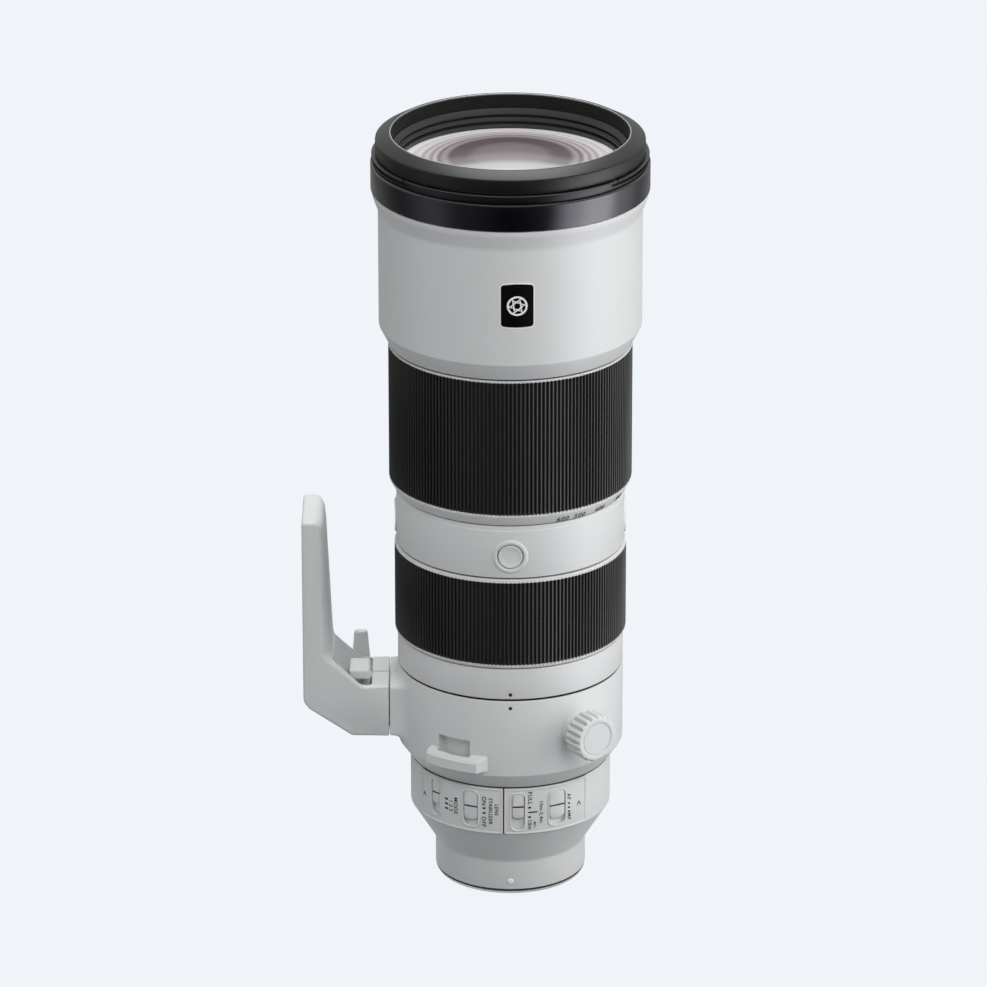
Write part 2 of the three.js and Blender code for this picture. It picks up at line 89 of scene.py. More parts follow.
class LensSizes(bpy.types.PropertyGroup):
    """Sizes of the lens that a user would change."""

    turning_steps: IntProperty(
        name="Turning steps", description="Facets round a turned piece", default=160, min=32)
    zoom_ribs: IntProperty(
        name="Zoom ribs", description="Ribs round the zoom grip", default=188, min=40)
    focus_ribs: IntProperty(
        name="Focus ribs", description="Ribs round the focus grip", default=180, min=40)
    rib_depth: FloatProperty(
        name="Rib depth", description="Depth of the grooves between ribs, mm", default=1.05)
    knob_grooves: IntProperty(
        name="Knob grooves", description="Grooves round the collar knob", default=20, min=6)
    edge_fillet: FloatProperty(
        name="Edge fillet", description="Usual rounding of an edge, mm", default=0.25)
    label_size: FloatProperty(
        name="Label size", description="Size of the letters beside a switch, mm", default=2.45)
    scale_size: FloatProperty(
        name="Scale size", description="Size of the figures on the zoom scale, mm", default=3.5)


class LensColours(bpy.types.PropertyGroup):
    """Colours of the lens that a user would change."""

    paint: FloatVectorProperty(
        name="Paint", description="Heat-reflecting paint", subtype="COLOR", size=4,
        default=(0.66, 0.668, 0.672, 1), min=0, max=1)
    grip: FloatVectorProperty(
        name="Grip", description="Ribbed rubber", subtype="COLOR", size=4,
        default=(0.0085, 0.0085, 0.009, 1), min=0, max=1)
    gloss: FloatVectorProperty(
        name="Gloss", description="Glossy black band", subtype="COLOR", size=4,
        default=(0.002, 0.002, 0.003, 1), min=0, max=1)
    matte: FloatVectorProperty(
        name="Matte", description="Matt black rings", subtype="COLOR", size=4,
        default=(0.0085, 0.009, 0.0085, 1), min=0, max=1)
    ink: FloatVectorProperty(
        name="Ink", description="Printed marks", subtype="COLOR", size=4,
        default=(0.012, 0.012, 0.014, 1), min=0, max=1)


def sizes():
    return bpy.context.scene.lens_sizes


def colours():
    return bpy.context.scene.lens_colours


# ------------------------------------------------------------------ modelling tools


def only(piece):
    """Makes a piece the only one selected, and the active one."""
    bpy.ops.object.select_all(action="DESELECT")
    piece.select_set(True)
    bpy.context.view_layer.objects.active = piece


def started(name):
    """Names the primitive that was just added."""
    piece = bpy.context.object
    piece.name = name
    piece.data.name = name
    return piece


def in_edit(piece, *steps):
    """Runs edit-mode operators on the whole of a piece."""
    only(piece)
    bpy.ops.object.mode_set(mode="EDIT")
    for step in steps:
        bpy.ops.mesh.select_all(action="SELECT")
        step()
    bpy.ops.object.mode_set(mode="OBJECT")


def merge_points():
    bpy.ops.mesh.remove_doubles(threshold=0.0008)


def face_outwards():
    bpy.ops.mesh.normals_make_consistent(inside=False)


def close_holes():
    bpy.ops.mesh.select_all(action="DESELECT")
    bpy.ops.mesh.select_non_manifold(
        use_wire=False, use_boundary=True, use_multi_face=False,
        use_non_contiguous=False, use_verts=False)
    bpy.ops.mesh.edge_face_add()


def rounded(corners, fillet=None, arcs=3):
    """Rounds the corners of a closed outline. A corner's third number is its own radius."""
    usual = sizes().edge_fillet if fillet is None else fillet
    outline = []
    for index, corner in enumerate(corners):
        here = Vector(corner[:2])
        before = Vector(corners[index - 1][:2]) - here
        after = Vector(corners[(index + 1) % len(corners)][:2]) - here
        radius = corner[2] if len(corner) > 2 else usual
        half = before.angle(after) / 2
        reach = min(radius / math.tan(half), 0.45 * before.length, 0.45 * after.length)
        if reach < 0.01:
            outline.append(tuple(here))
            continue
        start = here + before.normalized() * reach
        end = here + after.normalized() * reach
        middle = (before.normalized() + after.normalized()).normalized()
        centre = here + middle * (reach / math.cos(half))
        first, last = start - centre, end - centre
        sweep = first.angle(last)
        if first.x * last.y - first.y * last.x < 0:
            sweep = -sweep
        for step in range(arcs + 1):
            turn = Matrix.Rotation(sweep * step / arcs, 2)
            outline.append(tuple(centre + turn @ first))
    return outline


def turned(name, outline, steps=None, on_axis=False):
    """Spins an outline of (radius, height) pairs round Z. One that meets the axis stays open."""
    steps = steps or sizes().turning_steps
    bpy.ops.object.select_all(action="DESELECT")
    bpy.ops.mesh.primitive_circle_add(vertices=len(outline), fill_type="NOTHING")
    piece = started(name)
    for vertex, (radius, height) in zip(piece.data.vertices, outline):
        vertex.co = (radius, 0, height)
    if on_axis:
        last = len(outline) - 1
        only(piece)
        bpy.ops.object.mode_set(mode="EDIT")
        bpy.ops.mesh.select_mode(type="EDGE")
        bpy.ops.object.mode_set(mode="OBJECT")
        for vertex in piece.data.vertices:
            vertex.select = False
        for edge in piece.data.edges:
            edge.select = set(edge.vertices) == {0, last}
        bpy.ops.object.mode_set(mode="EDIT")
        bpy.ops.mesh.delete(type="EDGE")
        bpy.ops.mesh.select_mode(type="VERT")
        bpy.ops.object.mode_set(mode="OBJECT")

    def spin():
        bpy.ops.mesh.spin(steps=steps, angle=math.tau, center=(0, 0, 0), axis=(0, 0, 1))

    in_edit(piece, spin, merge_points, face_outwards)
    return piece


def mapped(name, columns, rows, place, closed=False):
    """A grid whose points move to place(column, row). Closed says to fill its open ends."""
    bpy.ops.object.select_all(action="DESELECT")
    bpy.ops.mesh.primitive_grid_add(x_subdivisions=columns, y_subdivisions=rows, size=2)
    piece = started(name)
    for vertex in piece.data.vertices:
        column = round((vertex.co.x + 1) / 2 * columns)
        row = round((vertex.co.y + 1) / 2 * rows)
        vertex.co = place(column, row)
    in_edit(piece, merge_points)
    if closed:
        in_edit(piece, close_holes)
    in_edit(piece, face_outwards)
    return piece


def lofted(name, loops, capped=True):
    """Joins closed loops of equally many points, and caps the first and the last."""
    count = len(loops[0])
    return mapped(name, count, len(loops) - 1,
                  lambda column, row: loops[row][column % count], closed=capped)


def cut(piece, tool, operation="DIFFERENCE"):
    """Cuts, joins or intersects a piece with a tool, which is used up."""
    only(piece)
    bpy.ops.object.modifier_add(type="BOOLEAN")
    modifier = piece.modifiers[-1]
    modifier.object = tool
    modifier.operation = operation
    modifier.solver = "EXACT"
    bpy.ops.object.modifier_apply(modifier=modifier.name)
    bpy.data.objects.remove(tool)
    return piece


def join_to(piece, tool):
    return cut(piece, tool, "UNION")


def bevelled(piece, width, segments=2, angle=35):
    only(piece)
    bpy.ops.object.modifier_add(type="BEVEL")
    modifier = piece.modifiers[-1]
    modifier.width = width
    modifier.segments = segments
    modifier.limit_method = "ANGLE"
    modifier.angle_limit = math.radians(angle)
    bpy.ops.object.modifier_apply(modifier=modifier.name)
    return piece


def joined(name, parts):
    """Puts several meshes into one piece."""
    only(parts[0])
    for part in parts:
        part.select_set(True)
    if len(parts) > 1:
        bpy.ops.object.join()
    return started(name)


def copied(piece, name):
    twin = piece.copy()
    twin.data = piece.data.copy()
    twin.name = name
    bpy.context.scene.collection.objects.link(twin)
    return twin


def on_barrel(radius, angle, height=0.0):
    """Bends flat (across, out, up) millimetres round the side of the lens."""

    def bend(across, out, up):
        turn = math.radians(angle) + across / radius
        return ((radius + out) * math.sin(turn), -(radius + out) * math.cos(turn), height + up)

    return bend


def radial_axis(angle, height):
    """Turns a piece modelled along +Z so that it points out of the side of the lens."""
    return (Matrix.Translation((0, 0, height)) @ Matrix.Rotation(math.radians(angle), 4, "Z")
            @ Matrix.Rotation(math.radians(90), 4, "X"))


def curved_block(name, inner, outer, start, end, bottom, top, fillet=0.25, step=2.0):
    """A block bent round the lens, between two radii, two angles and two heights."""
    section = rounded([(inner, bottom), (outer, bottom), (outer, top), (inner, top)], fillet)
    count = max(2, math.ceil((end - start) / step))
    inset = math.degrees(fillet / outer)
    angles = [start, start + inset * 0.35, start + inset]
    angles += [start + inset + (end - start - 2 * inset) * k / count for k in range(1, count)]
    angles += [end - inset, end - inset * 0.35, end]
    shrink = {0: fillet, 1: fillet * 0.35, len(angles) - 2: fillet * 0.35,
              len(angles) - 1: fillet}
    middle_r, middle_z = (inner + outer) / 2, (bottom + top) / 2
    loops = []
    for index, angle in enumerate(angles):
        less = shrink.get(index, 0.0)
        bend = math.radians(angle)
        loop = []
        for radius, height in section:
            radius -= math.copysign(min(less, abs(radius - middle_r)), radius - middle_r)
            height -= math.copysign(min(less, abs(height - middle_z)), height - middle_z)
            loop.append((radius * math.sin(bend), -radius * math.cos(bend), height))
        loops.append(loop)
    return lofted(name, loops)


def rounded_loop(width, height, corner, straight=1, arcs=5):
    """Points of a rounded rectangle with their outward directions: (x, z, nx, nz)."""
    points = []
    for quarter in range(4):
        sx, sz = ((1, 1), (-1, 1), (-1, -1), (1, -1))[quarter]
        cx, cz = sx * (width / 2 - corner), sz * (height / 2 - corner)
        for k in range(arcs + 1):
            turn = math.pi / 2 * (quarter + k / arcs)
            nx, nz = math.cos(turn), math.sin(turn)
            points.append((cx + corner * nx, cz + corner * nz, nx, nz))
        ahead = ((-1, 1), (-1, -1), (1, -1), (1, 1))[quarter]
        turn = math.pi / 2 * (quarter + 1)
        nx, nz = math.cos(turn), math.sin(turn)
        end = (ahead[0] * (width / 2 - corner) + corner * nx,
               ahead[1] * (height / 2 - corner) + corner * nz)
        begin = points[-1]
        for k in range(1, straight):
            part = k / straight
            points.append((begin[0] + (end[0] - begin[0]) * part,
                           begin[1] + (end[1] - begin[1]) * part, nx, nz))
    return points


def plug(name, width, height, corner, low, high, bend):
    """A rounded bar that stands out of the side of the lens, from low to high."""
    loop = rounded_loop(width, height, corner, straight=5)
    return lofted(name, [[bend(x, out, z) for x, z, _, _ in loop] for out in (low, high)])


def rim(name, width, height, corner, section, bend, straight=5):
    """A raised rim round a rounded rectangle. The section holds (offset, lift) pairs."""
    loop = rounded_loop(width, height, corner, straight=straight, arcs=6)
    closed = section + section[:1]
    loops = [[bend(x + nx * offset, lift, z + nz * offset) for x, z, nx, nz in loop]
             for offset, lift in closed]
    return lofted(name, loops, capped=False)


def lettering(name, text, size, place, thickness=0.03):
    """Flat printed letters. place maps (along, up, out) of the text to the lens."""
    bpy.ops.object.select_all(action="DESELECT")
    bpy.ops.object.text_add()
    words = bpy.context.object
    words.data.body = text
    words.data.size = size
    words.data.align_x = "CENTER"
    words.data.align_y = "CENTER"
    words.data.extrude = thickness
    words.data.resolution_u = 3
    words.data.offset = 0.045
    words.data.space_character = 1.12
    bpy.ops.object.convert(target="MESH")
    piece = started(name)
    for vertex in piece.data.vertices:
        vertex.co = place(*vertex.co)
    return piece


def finished(piece, body, slot, material, *nodes, angle=30):
    """Sets a piece into the frame, finishes its surface and hands it to its body."""
    piece.data.transform(INTO_FRAME)
    piece.data.materials.clear()
    piece.data.materials.append(material)
    only(piece)
    bpy.ops.object.shade_smooth_by_angle(angle=math.radians(angle))
    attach(piece, body)
    if nodes:
        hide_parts(*nodes)
    return piece


# ------------------------------------------------------------------ shader groups


def new_group(name, inputs, outputs):
    tree = bpy.data.node_groups.new(name, "ShaderNodeTree")
    for label, kind, value in inputs:
        socket = tree.interface.new_socket(label, in_out="INPUT", socket_type=kind)
        socket.default_value = value
    for label, kind in outputs:
        tree.interface.new_socket(label, in_out="OUTPUT", socket_type=kind)
    return tree, tree.nodes.new("NodeGroupInput"), tree.nodes.new("NodeGroupOutput")


def math_node(tree, operation, first, second):
    node = tree.nodes.new("ShaderNodeMath")
    node.operation = operation
    for socket, value in zip(node.inputs, (first, second)):
        if isinstance(value, (int, float)):
            socket.default_value = value
        else:
            tree.links.new(value, socket)
    return node.outputs[0]


def noise(tree, vector, scale, detail=3.0):
    node = tree.nodes.new("ShaderNodeTexNoise")
    node.inputs["Detail"].default_value = detail
    tree.links.new(vector, node.inputs["Vector"])
    if isinstance(scale, (int, float)):
        node.inputs["Scale"].default_value = scale
    else:
        tree.links.new(scale, node.inputs["Scale"])
    return node.outputs["Fac"]


def set_stops(ramp, stops):
    """Gives a colour ramp its (place, colour) stops."""
    elements = ramp.color_ramp.elements
    while len(elements) < len(stops):
        elements.new(1.0)
    for element, (place, colour) in zip(elements, stops):
        element.position = place
        element.color = (*colour, 1)


def tinted(tree, colour, factor):
    """A colour multiplied by a grey factor."""
    node = tree.nodes.new("ShaderNodeVectorMath")
    node.operation = "SCALE"
    tree.links.new(colour, node.inputs[0])
    tree.links.new(factor, node.inputs["Scale"])
    return node.outputs[0]


def moulded_group():
    """Fine grain, faint mottling and handled patches, for paint, plastic and rubber."""
    existing = bpy.data.node_groups.get("Moulded Surface")
    if existing:
        return existing
    tree, given, result = new_group(
        "Moulded Surface",
        [("Colour", "NodeSocketColor", (0.5, 0.5, 0.5, 1)),
         ("Roughness", "NodeSocketFloat", 0.5),
         ("Grain Scale", "NodeSocketFloat", 2500.0),
         ("Mottle", "NodeSocketFloat", 0.04),
         ("Handling", "NodeSocketFloat", 0.06)],
        [("Colour", "NodeSocketColor"), ("Roughness", "NodeSocketFloat"),
         ("Height", "NodeSocketFloat")])
    where = tree.nodes.new("ShaderNodeTexCoord").outputs["Object"]
    grain = noise(tree, where, given.outputs["Grain Scale"], 4.0)
    patches = noise(tree, where, 34.0, 2.0)
    blotches = noise(tree, where, 420.0, 3.0)
    centred = math_node(tree, "SUBTRACT", blotches, 0.5)
    mottle = math_node(tree, "MULTIPLY", centred, given.outputs["Mottle"])
    shade = math_node(tree, "ADD", mottle, 1.0)
    tree.links.new(tinted(tree, given.outputs["Colour"], shade), result.inputs["Colour"])
    worn = math_node(tree, "MULTIPLY", math_node(tree, "SUBTRACT", patches, 0.5),
                     given.outputs["Handling"])
    tree.links.new(math_node(tree, "ADD", given.outputs["Roughness"], worn),
                   result.inputs["Roughness"])
    tree.links.new(grain, result.inputs["Height"])
    return tree


def turned_group():
    """Fine rings left by a lathe, for metal."""
    existing = bpy.data.node_groups.get("Turned Metal")
    if existing:
        return existing
    tree, given, result = new_group(
        "Turned Metal",
        [("Colour", "NodeSocketColor", (0.6, 0.6, 0.6, 1)),
         ("Roughness", "NodeSocketFloat", 0.3),
         ("Ring Pitch", "NodeSocketFloat", 9000.0)],
        [("Colour", "NodeSocketColor"), ("Roughness", "NodeSocketFloat"),
         ("Height", "NodeSocketFloat")])
    mapping = tree.nodes.new("ShaderNodeMapping")
    mapping.inputs["Location"].default_value = (-AXIS_X, 0, 0)
    coordinates = tree.nodes.new("ShaderNodeTexCoord")
    tree.links.new(coordinates.outputs["Object"], mapping.inputs["Vector"])
    axes = tree.nodes.new("ShaderNodeSeparateXYZ")
    tree.links.new(mapping.outputs["Vector"], axes.inputs[0])
    across = math_node(tree, "POWER", axes.outputs["X"], 2.0)
    along = math_node(tree, "POWER", axes.outputs["Y"], 2.0)
    radius = math_node(tree, "SQRT", math_node(tree, "ADD", across, along), 0)
    run = math_node(tree, "ADD", radius, axes.outputs["Z"])
    rings = math_node(tree, "SINE", math_node(tree, "MULTIPLY", run, given.outputs["Ring Pitch"]),
                      0)
    speckle = noise(tree, coordinates.outputs["Object"], 900.0, 3.0)
    height = math_node(tree, "ADD", math_node(tree, "MULTIPLY", rings, 0.5), speckle)
    shade = math_node(tree, "ADD", math_node(tree, "MULTIPLY", speckle, 0.2), 0.9)
    tree.links.new(tinted(tree, given.outputs["Colour"], shade), result.inputs["Colour"])
    tree.links.new(math_node(tree, "ADD", given.outputs["Roughness"],
                             math_node(tree, "MULTIPLY", speckle, 0.15)),
                   result.inputs["Roughness"])
    tree.links.new(height, result.inputs["Height"])
    return tree


# ------------------------------------------------------------------ materials


def shaded(name, group, values, bump, **settings):
    """A material whose colour, roughness and grain come from a shader group."""
    material = bpy.data.materials.get(name)
    if material:
        return material
    material = bpy.data.materials.new(name)
    material.use_nodes = True
    tree = material.node_tree
    shader = tree.nodes["Principled BSDF"]
    surface = tree.nodes.new("ShaderNodeGroup")
    surface.node_tree = group
    for label, value in values.items():
        surface.inputs[label].default_value = value
    tree.links.new(surface.outputs["Colour"], shader.inputs["Base Color"])
    tree.links.new(surface.outputs["Roughness"], shader.inputs["Roughness"])
    relief = tree.nodes.new("ShaderNodeBump")
    relief.inputs["Strength"].default_value = bump[0]
    relief.inputs["Distance"].default_value = bump[1]
    tree.links.new(surface.outputs["Height"], relief.inputs["Height"])
    tree.links.new(relief.outputs["Normal"], shader.inputs["Normal"])
    for label, value in settings.items():
        shader.inputs[label.replace("_", " ")].default_value = value
    material.diffuse_color = tuple(values["Colour"])
    return material


def moulded(name, colour, roughness, grain, mottle, handling, bump, **settings):
    return shaded(name, moulded_group(),
                  {"Colour": tuple(colour), "Roughness": roughness, "Grain Scale": grain,
                   "Mottle": mottle, "Handling": handling}, bump, **settings)


def white_paint():
    return moulded("White Lens Paint", colours().paint, 0.42, 2600.0, 0.03, 0.05,
                   (0.25, 0.00003))


def grip_rubber():
    return moulded("Grip Rubber", colours().grip, 0.42, 1800.0, 0.3, 0.1,
                   (0.3, 0.00004), Specular_IOR_Level=1.0,
                   Specular_Tint=(1.0, 1.0, 0.9, 1))


def gloss_black():
    return moulded("Gloss Black Enamel", colours().gloss, 0.2, 1500.0, 0.1, 0.04,
                   (0.05, 0.00002), IOR=1.8)


def matte_black():
    return moulded("Matt Black Anodising", colours().matte, 0.4, 3200.0, 0.2, 0.08,
                   (0.3, 0.00003))


def rim_black():
    return moulded("Rim Anodising", (0.0062, 0.0068, 0.0062, 1), 0.4, 3200.0, 0.2, 0.06,
                   (0.2, 0.00002))


def satin_black():
    return moulded("Satin Black Anodising", (0.006, 0.006, 0.006, 1), 0.3, 3200.0, 0.2, 0.06,
                   (0.2, 0.00002))


def edge_metal():
    return shaded("Bare Edge", turned_group(),
                  {"Colour": (0.5, 0.51, 0.51, 1), "Roughness": 0.3, "Ring Pitch": 16000.0},
                  (0.1, 0.00001), Metallic=1.0)


def ledge_black():
    return moulded("Ledge Anodising", (0.02, 0.0205, 0.02, 1), 0.4, 3200.0, 0.2, 0.06,
                   (0.2, 0.00002))


# Painted highlight: a lighter grey for thin rings on ledge edges, standing in for bright edge
# highlights.
def worn_edge():
    return moulded("Painted Edge Highlight", (0.09, 0.092, 0.092, 1), 0.4, 900.0, 0.6, 0.1, (0.1, 0.00001))


def deep_black():
    return moulded("Flocked Black", (0.008, 0.008, 0.008, 1), 0.8, 3200.0, 0.3, 0.05,
                   (0.3, 0.00004))


def printed_ink():
    return moulded("Printed Ink", colours().ink, 0.55, 2500.0, 0.2, 0.05, (0.1, 0.00001))


def white_enamel():
    return moulded("White Enamel", (0.85, 0.85, 0.84, 1), 0.25, 1500.0, 0.03, 0.03,
                   (0.05, 0.00001))


def bright_steel():
    return shaded("Turned Steel", turned_group(),
                  {"Colour": (0.68, 0.69, 0.71, 1), "Roughness": 0.2, "Ring Pitch": 16000.0},
                  (0.03, 0.00001), Metallic=1.0)


def tube_aluminium():
    return shaded("Turned Aluminium", turned_group(),
                  {"Colour": (0.05, 0.05, 0.052, 1), "Roughness": 0.35, "Ring Pitch": 12000.0},
                  (0.2, 0.00001), Metallic=1.0)


def turned_brass():
    return shaded("Turned Brass", turned_group(),
                  {"Colour": (0.72, 0.52, 0.22, 1), "Roughness": 0.22, "Ring Pitch": 16000.0},
                  (0.15, 0.00001), Metallic=1.0)


def circuit_green():
    return moulded("Solder Mask", (0.012, 0.09, 0.04, 1), 0.35, 900.0, 0.5, 0.1,
                   (0.2, 0.00003))


def coated_glass():
    """Dark glass whose colour holds painted reflections: faint rings by radius, and a painted pale
    pool of reflected light at one side, the front.
    """
    name = "Glass With Painted Reflections"
    material = bpy.data.materials.get(name)
    if material:
        return material
    material = bpy.data.materials.new(name)
    material.use_nodes = True
    tree = material.node_tree
    shader = tree.nodes["Principled BSDF"]
    mapping = tree.nodes.new("ShaderNodeMapping")
    mapping.inputs["Location"].default_value = (-AXIS_X, 0, 0)
    coordinates = tree.nodes.new("ShaderNodeTexCoord")
    tree.links.new(coordinates.outputs["Object"], mapping.inputs["Vector"])
    axes = tree.nodes.new("ShaderNodeSeparateXYZ")
    tree.links.new(mapping.outputs["Vector"], axes.inputs[0])
    radius = math_node(tree, "SQRT", math_node(
        tree, "ADD", math_node(tree, "POWER", axes.outputs["X"], 2.0),
        math_node(tree, "POWER", axes.outputs["Y"], 2.0)), 0)
    glass_radius = 0.045
    part = math_node(tree, "DIVIDE", radius, glass_radius)
    # Painted reflection: rings of paler and darker colour by radius stand in for reflections of
    # the inner elements.
    ramp = tree.nodes.new("ShaderNodeValToRGB")
    ramp.color_ramp.interpolation = "EASE"
    set_stops(ramp, [
        (0.0, (0.13, 0.11, 0.113)), (0.30, (0.12, 0.10, 0.103)), (0.40, (0.07, 0.056, 0.058)),
        (0.52, (0.08, 0.064, 0.067)), (0.59, (0.26, 0.225, 0.23)), (0.63, (0.16, 0.135, 0.14)),
        (0.67, (0.42, 0.38, 0.39)), (0.70, (0.26, 0.23, 0.235)), (0.745, (0.50, 0.46, 0.47)),
        (0.775, (0.33, 0.30, 0.305)), (0.82, (0.62, 0.59, 0.60)), (0.87, (0.52, 0.49, 0.50)),
        (0.93, (0.74, 0.72, 0.73)), (1.0, (0.80, 0.79, 0.80))])
    tree.links.new(part, ramp.inputs["Fac"])
    # Painted reflection: a pale pool of reflected light towards the front, the -Y side, blended
    # over the rings.
    painted_reflection_pool = tree.nodes.new("ShaderNodeValToRGB")
    painted_reflection_pool.color_ramp.interpolation = "EASE"
    set_stops(painted_reflection_pool, [(0.0, (1, 1, 1)), (0.28, (1, 1, 1)), (0.36, (0.75, 0.75, 0.75)),
                     (0.45, (0.2, 0.2, 0.2)), (0.56, (0, 0, 0)), (1.0, (0, 0, 0))])
    across = math_node(tree, "MULTIPLY", math_node(
        tree, "POWER", math_node(tree, "DIVIDE", axes.outputs["X"], 0.06), 2.0), 0.3)
    along = math_node(tree, "DIVIDE", math_node(
        tree, "ADD", axes.outputs["Y"], glass_radius), 2 * glass_radius)
    tree.links.new(math_node(tree, "ADD", along, across), painted_reflection_pool.inputs["Fac"])
    blend = tree.nodes.new("ShaderNodeMix")
    blend.data_type = "RGBA"
    blend.inputs[7].default_value = (0.52, 0.505, 0.515, 1)
    tree.links.new(painted_reflection_pool.outputs["Color"], blend.inputs[0])
    tree.links.new(ramp.outputs["Color"], blend.inputs[6])
    tree.links.new(blend.outputs[2], shader.inputs["Base Color"])
    shader.inputs["Roughness"].default_value = 0.3
    shader.inputs["IOR"].default_value = 1.5
    shader.inputs["Specular IOR Level"].default_value = 0.3
    shader.inputs["Specular Tint"].default_value = (1.0, 0.93, 0.97, 1)
    return material


# ------------------------------------------------------------------ the mount


class LENS_OT_mount(bpy.types.Operator):
    """Model the bayonet, its screws, gasket and contacts, and the rear lens cell"""

    bl_idname = "lens.mount"
    bl_label = "Bayonet mount"

    screw_circle = 26.4
    screw_angles = (45, 135, 225, 315)

    def execute(self, context):
        ring = Span("mount_bayonet")
        core, bore, flange = 22.0, 20.9, ring.radius
        bayonet = turned("bayonet", rounded([
            (bore, ring.bottom), (core, ring.bottom), (core, 0, 0.3), (flange, 0),
            (flange, 1.0, 0.1), (flange - 1, 1.0, 0.1), (flange - 1, ring.top), (bore, ring.top)],
            0.2))
        for middle in (0, 120, 240):
            tab = curved_block("tab", core - 0.8, 23.4, middle - 26, middle + 26,
                               ring.bottom, ring.bottom + 1.0, 0.25)
            join_to(bayonet, tab)
        for angle in self.screw_angles:
            sink = turned("sink", [(0, -1), (2.3, -1), (2.3, 0.7), (1.3, 1.2), (1.3, 3), (0, 3)],
                          24, on_axis=True)
            sink.data.transform(Matrix.Translation(
                on_barrel(self.screw_circle, angle)(0, 0, 0)))
            cut(bayonet, sink)
        finished(bayonet, "root", "bright_steel", bright_steel(), "mount_bayonet")
        self.screws()
        self.seal_and_contacts()
        self.rear_optics()
        return {"FINISHED"}

    def screws(self):
        head = [(0, 0.15), (1.2, 0.18), (1.7, 0.35), (1.8, 0.6), (1.5, 0.9), (0.9, 1.0),
                (0.9, 5.8), (0.6, 6.0), (0, 6.0)]
        screw = turned("screw", head, 28, on_axis=True)
        for turn in (0, 90):
            bpy.ops.object.select_all(action="DESELECT")
            bpy.ops.mesh.primitive_cube_add(size=1)
            slot = started("slot")
            slot.data.transform(Matrix.Rotation(math.radians(turn), 4, "Z")
                                @ Matrix.Diagonal((2.1, 0.42, 0.9, 1)))
            slot.data.transform(Matrix.Translation((0, 0, 0.15)))
            cut(screw, slot)
        for index, angle in enumerate(self.screw_angles):
            name = f"flange_screw_{index + 1}"
            twin = copied(screw, name)
            twin.data.transform(Matrix.Translation(on_barrel(self.screw_circle, angle)(0, 0, 0)))
            finished(twin, "root", "bright_steel", bright_steel(), f"mount_screw_{index + 1}")
        bpy.data.objects.remove(screw)

    def seal_and_contacts(self):
        seal = Span("mount_gasket")
        gasket = turned("gasket", rounded([
            (29.2, seal.bottom), (seal.radius + 0.1, seal.bottom), (seal.radius, seal.top),
            (29.2, seal.top)], 0.25))
        finished(gasket, "root", "grip_rubber", grip_rubber(), "mount_gasket")
        block = Span("contact_block")
        contacts = curved_block("contacts", 17.2, 20.4, -35, 35, block.bottom, block.top, 0.3)
        finished(contacts, "root", "matte_black", matte_black(), "contact_block")
        pads = []
        for index in range(10):
            angle = -29 + index * 58 / 9
            pads.append(curved_block("pad", 17.9, 19.7, angle - 1.6, angle + 1.6,
                                     block.bottom - 0.12, block.bottom + 0.6, 0.15, 1.0))
        finished(joined("contact_pads", pads), "root", "turned_brass", turned_brass())
        plate = Span("rear_baffle")
        baffle = turned("baffle", rounded([
            (8, plate.bottom), (20.4, plate.bottom, 0.4), (20.4, plate.top), (8, plate.top)],
            0.2), 96)
        flat = turned("flat", [(0, plate.bottom + 0.8), (9, plate.bottom + 0.8),
                               (9, plate.top - 0.5), (0, plate.top - 0.5)], 48, on_axis=True)
        join_to(baffle, flat)
        window = rounded_loop(26, 19, 1.5)
        opening = lofted("window", [[(x, z, plate.bottom - 2) for x, z, _, _ in window],
                                    [(x, z, plate.top + 2) for x, z, _, _ in window]])
        cut(baffle, opening)
        cut(baffle, curved_block("notch", 16.8, 22, -38, 38, plate.bottom - 1, plate.top + 1,
                                 0.05))
        finished(baffle, "root", "matte_black", deep_black(), "rear_baffle")

    def rear_optics(self):
        cell = Span("rear_lens_cell")
        holder = turned("rear_holder", rounded([
            (18.3, cell.bottom), (cell.radius, cell.bottom), (cell.radius, cell.top),
            (21, cell.top), (20.4, cell.top - 2), (18.3, cell.top - 2)]), 96)
        finished(holder, "root", "matte_black", matte_black(), "rear_lens_cell")


# ------------------------------------------------------------------ rear barrel and switches

PANEL_EDGES = (-60.4, -3.9, 48.0)
SWITCHES = {
    "mode_switch": (-51.2, -42.5),
    "stabiliser_switch": (-28.4, -17.4),
    "focus_range_switch": (-0.4, 9.1),
    "focus_mode_switch": (21.2, 33.4),
}
SLOT_HEIGHTS = {
    "mode_switch": (34.6, 50.8),
    "stabiliser_switch": (34.0, 50.2),
    "focus_range_switch": (33.3, 50.2),
    "focus_mode_switch": (34.0, 50.0),
}


RIM_WIDTH = 0.8


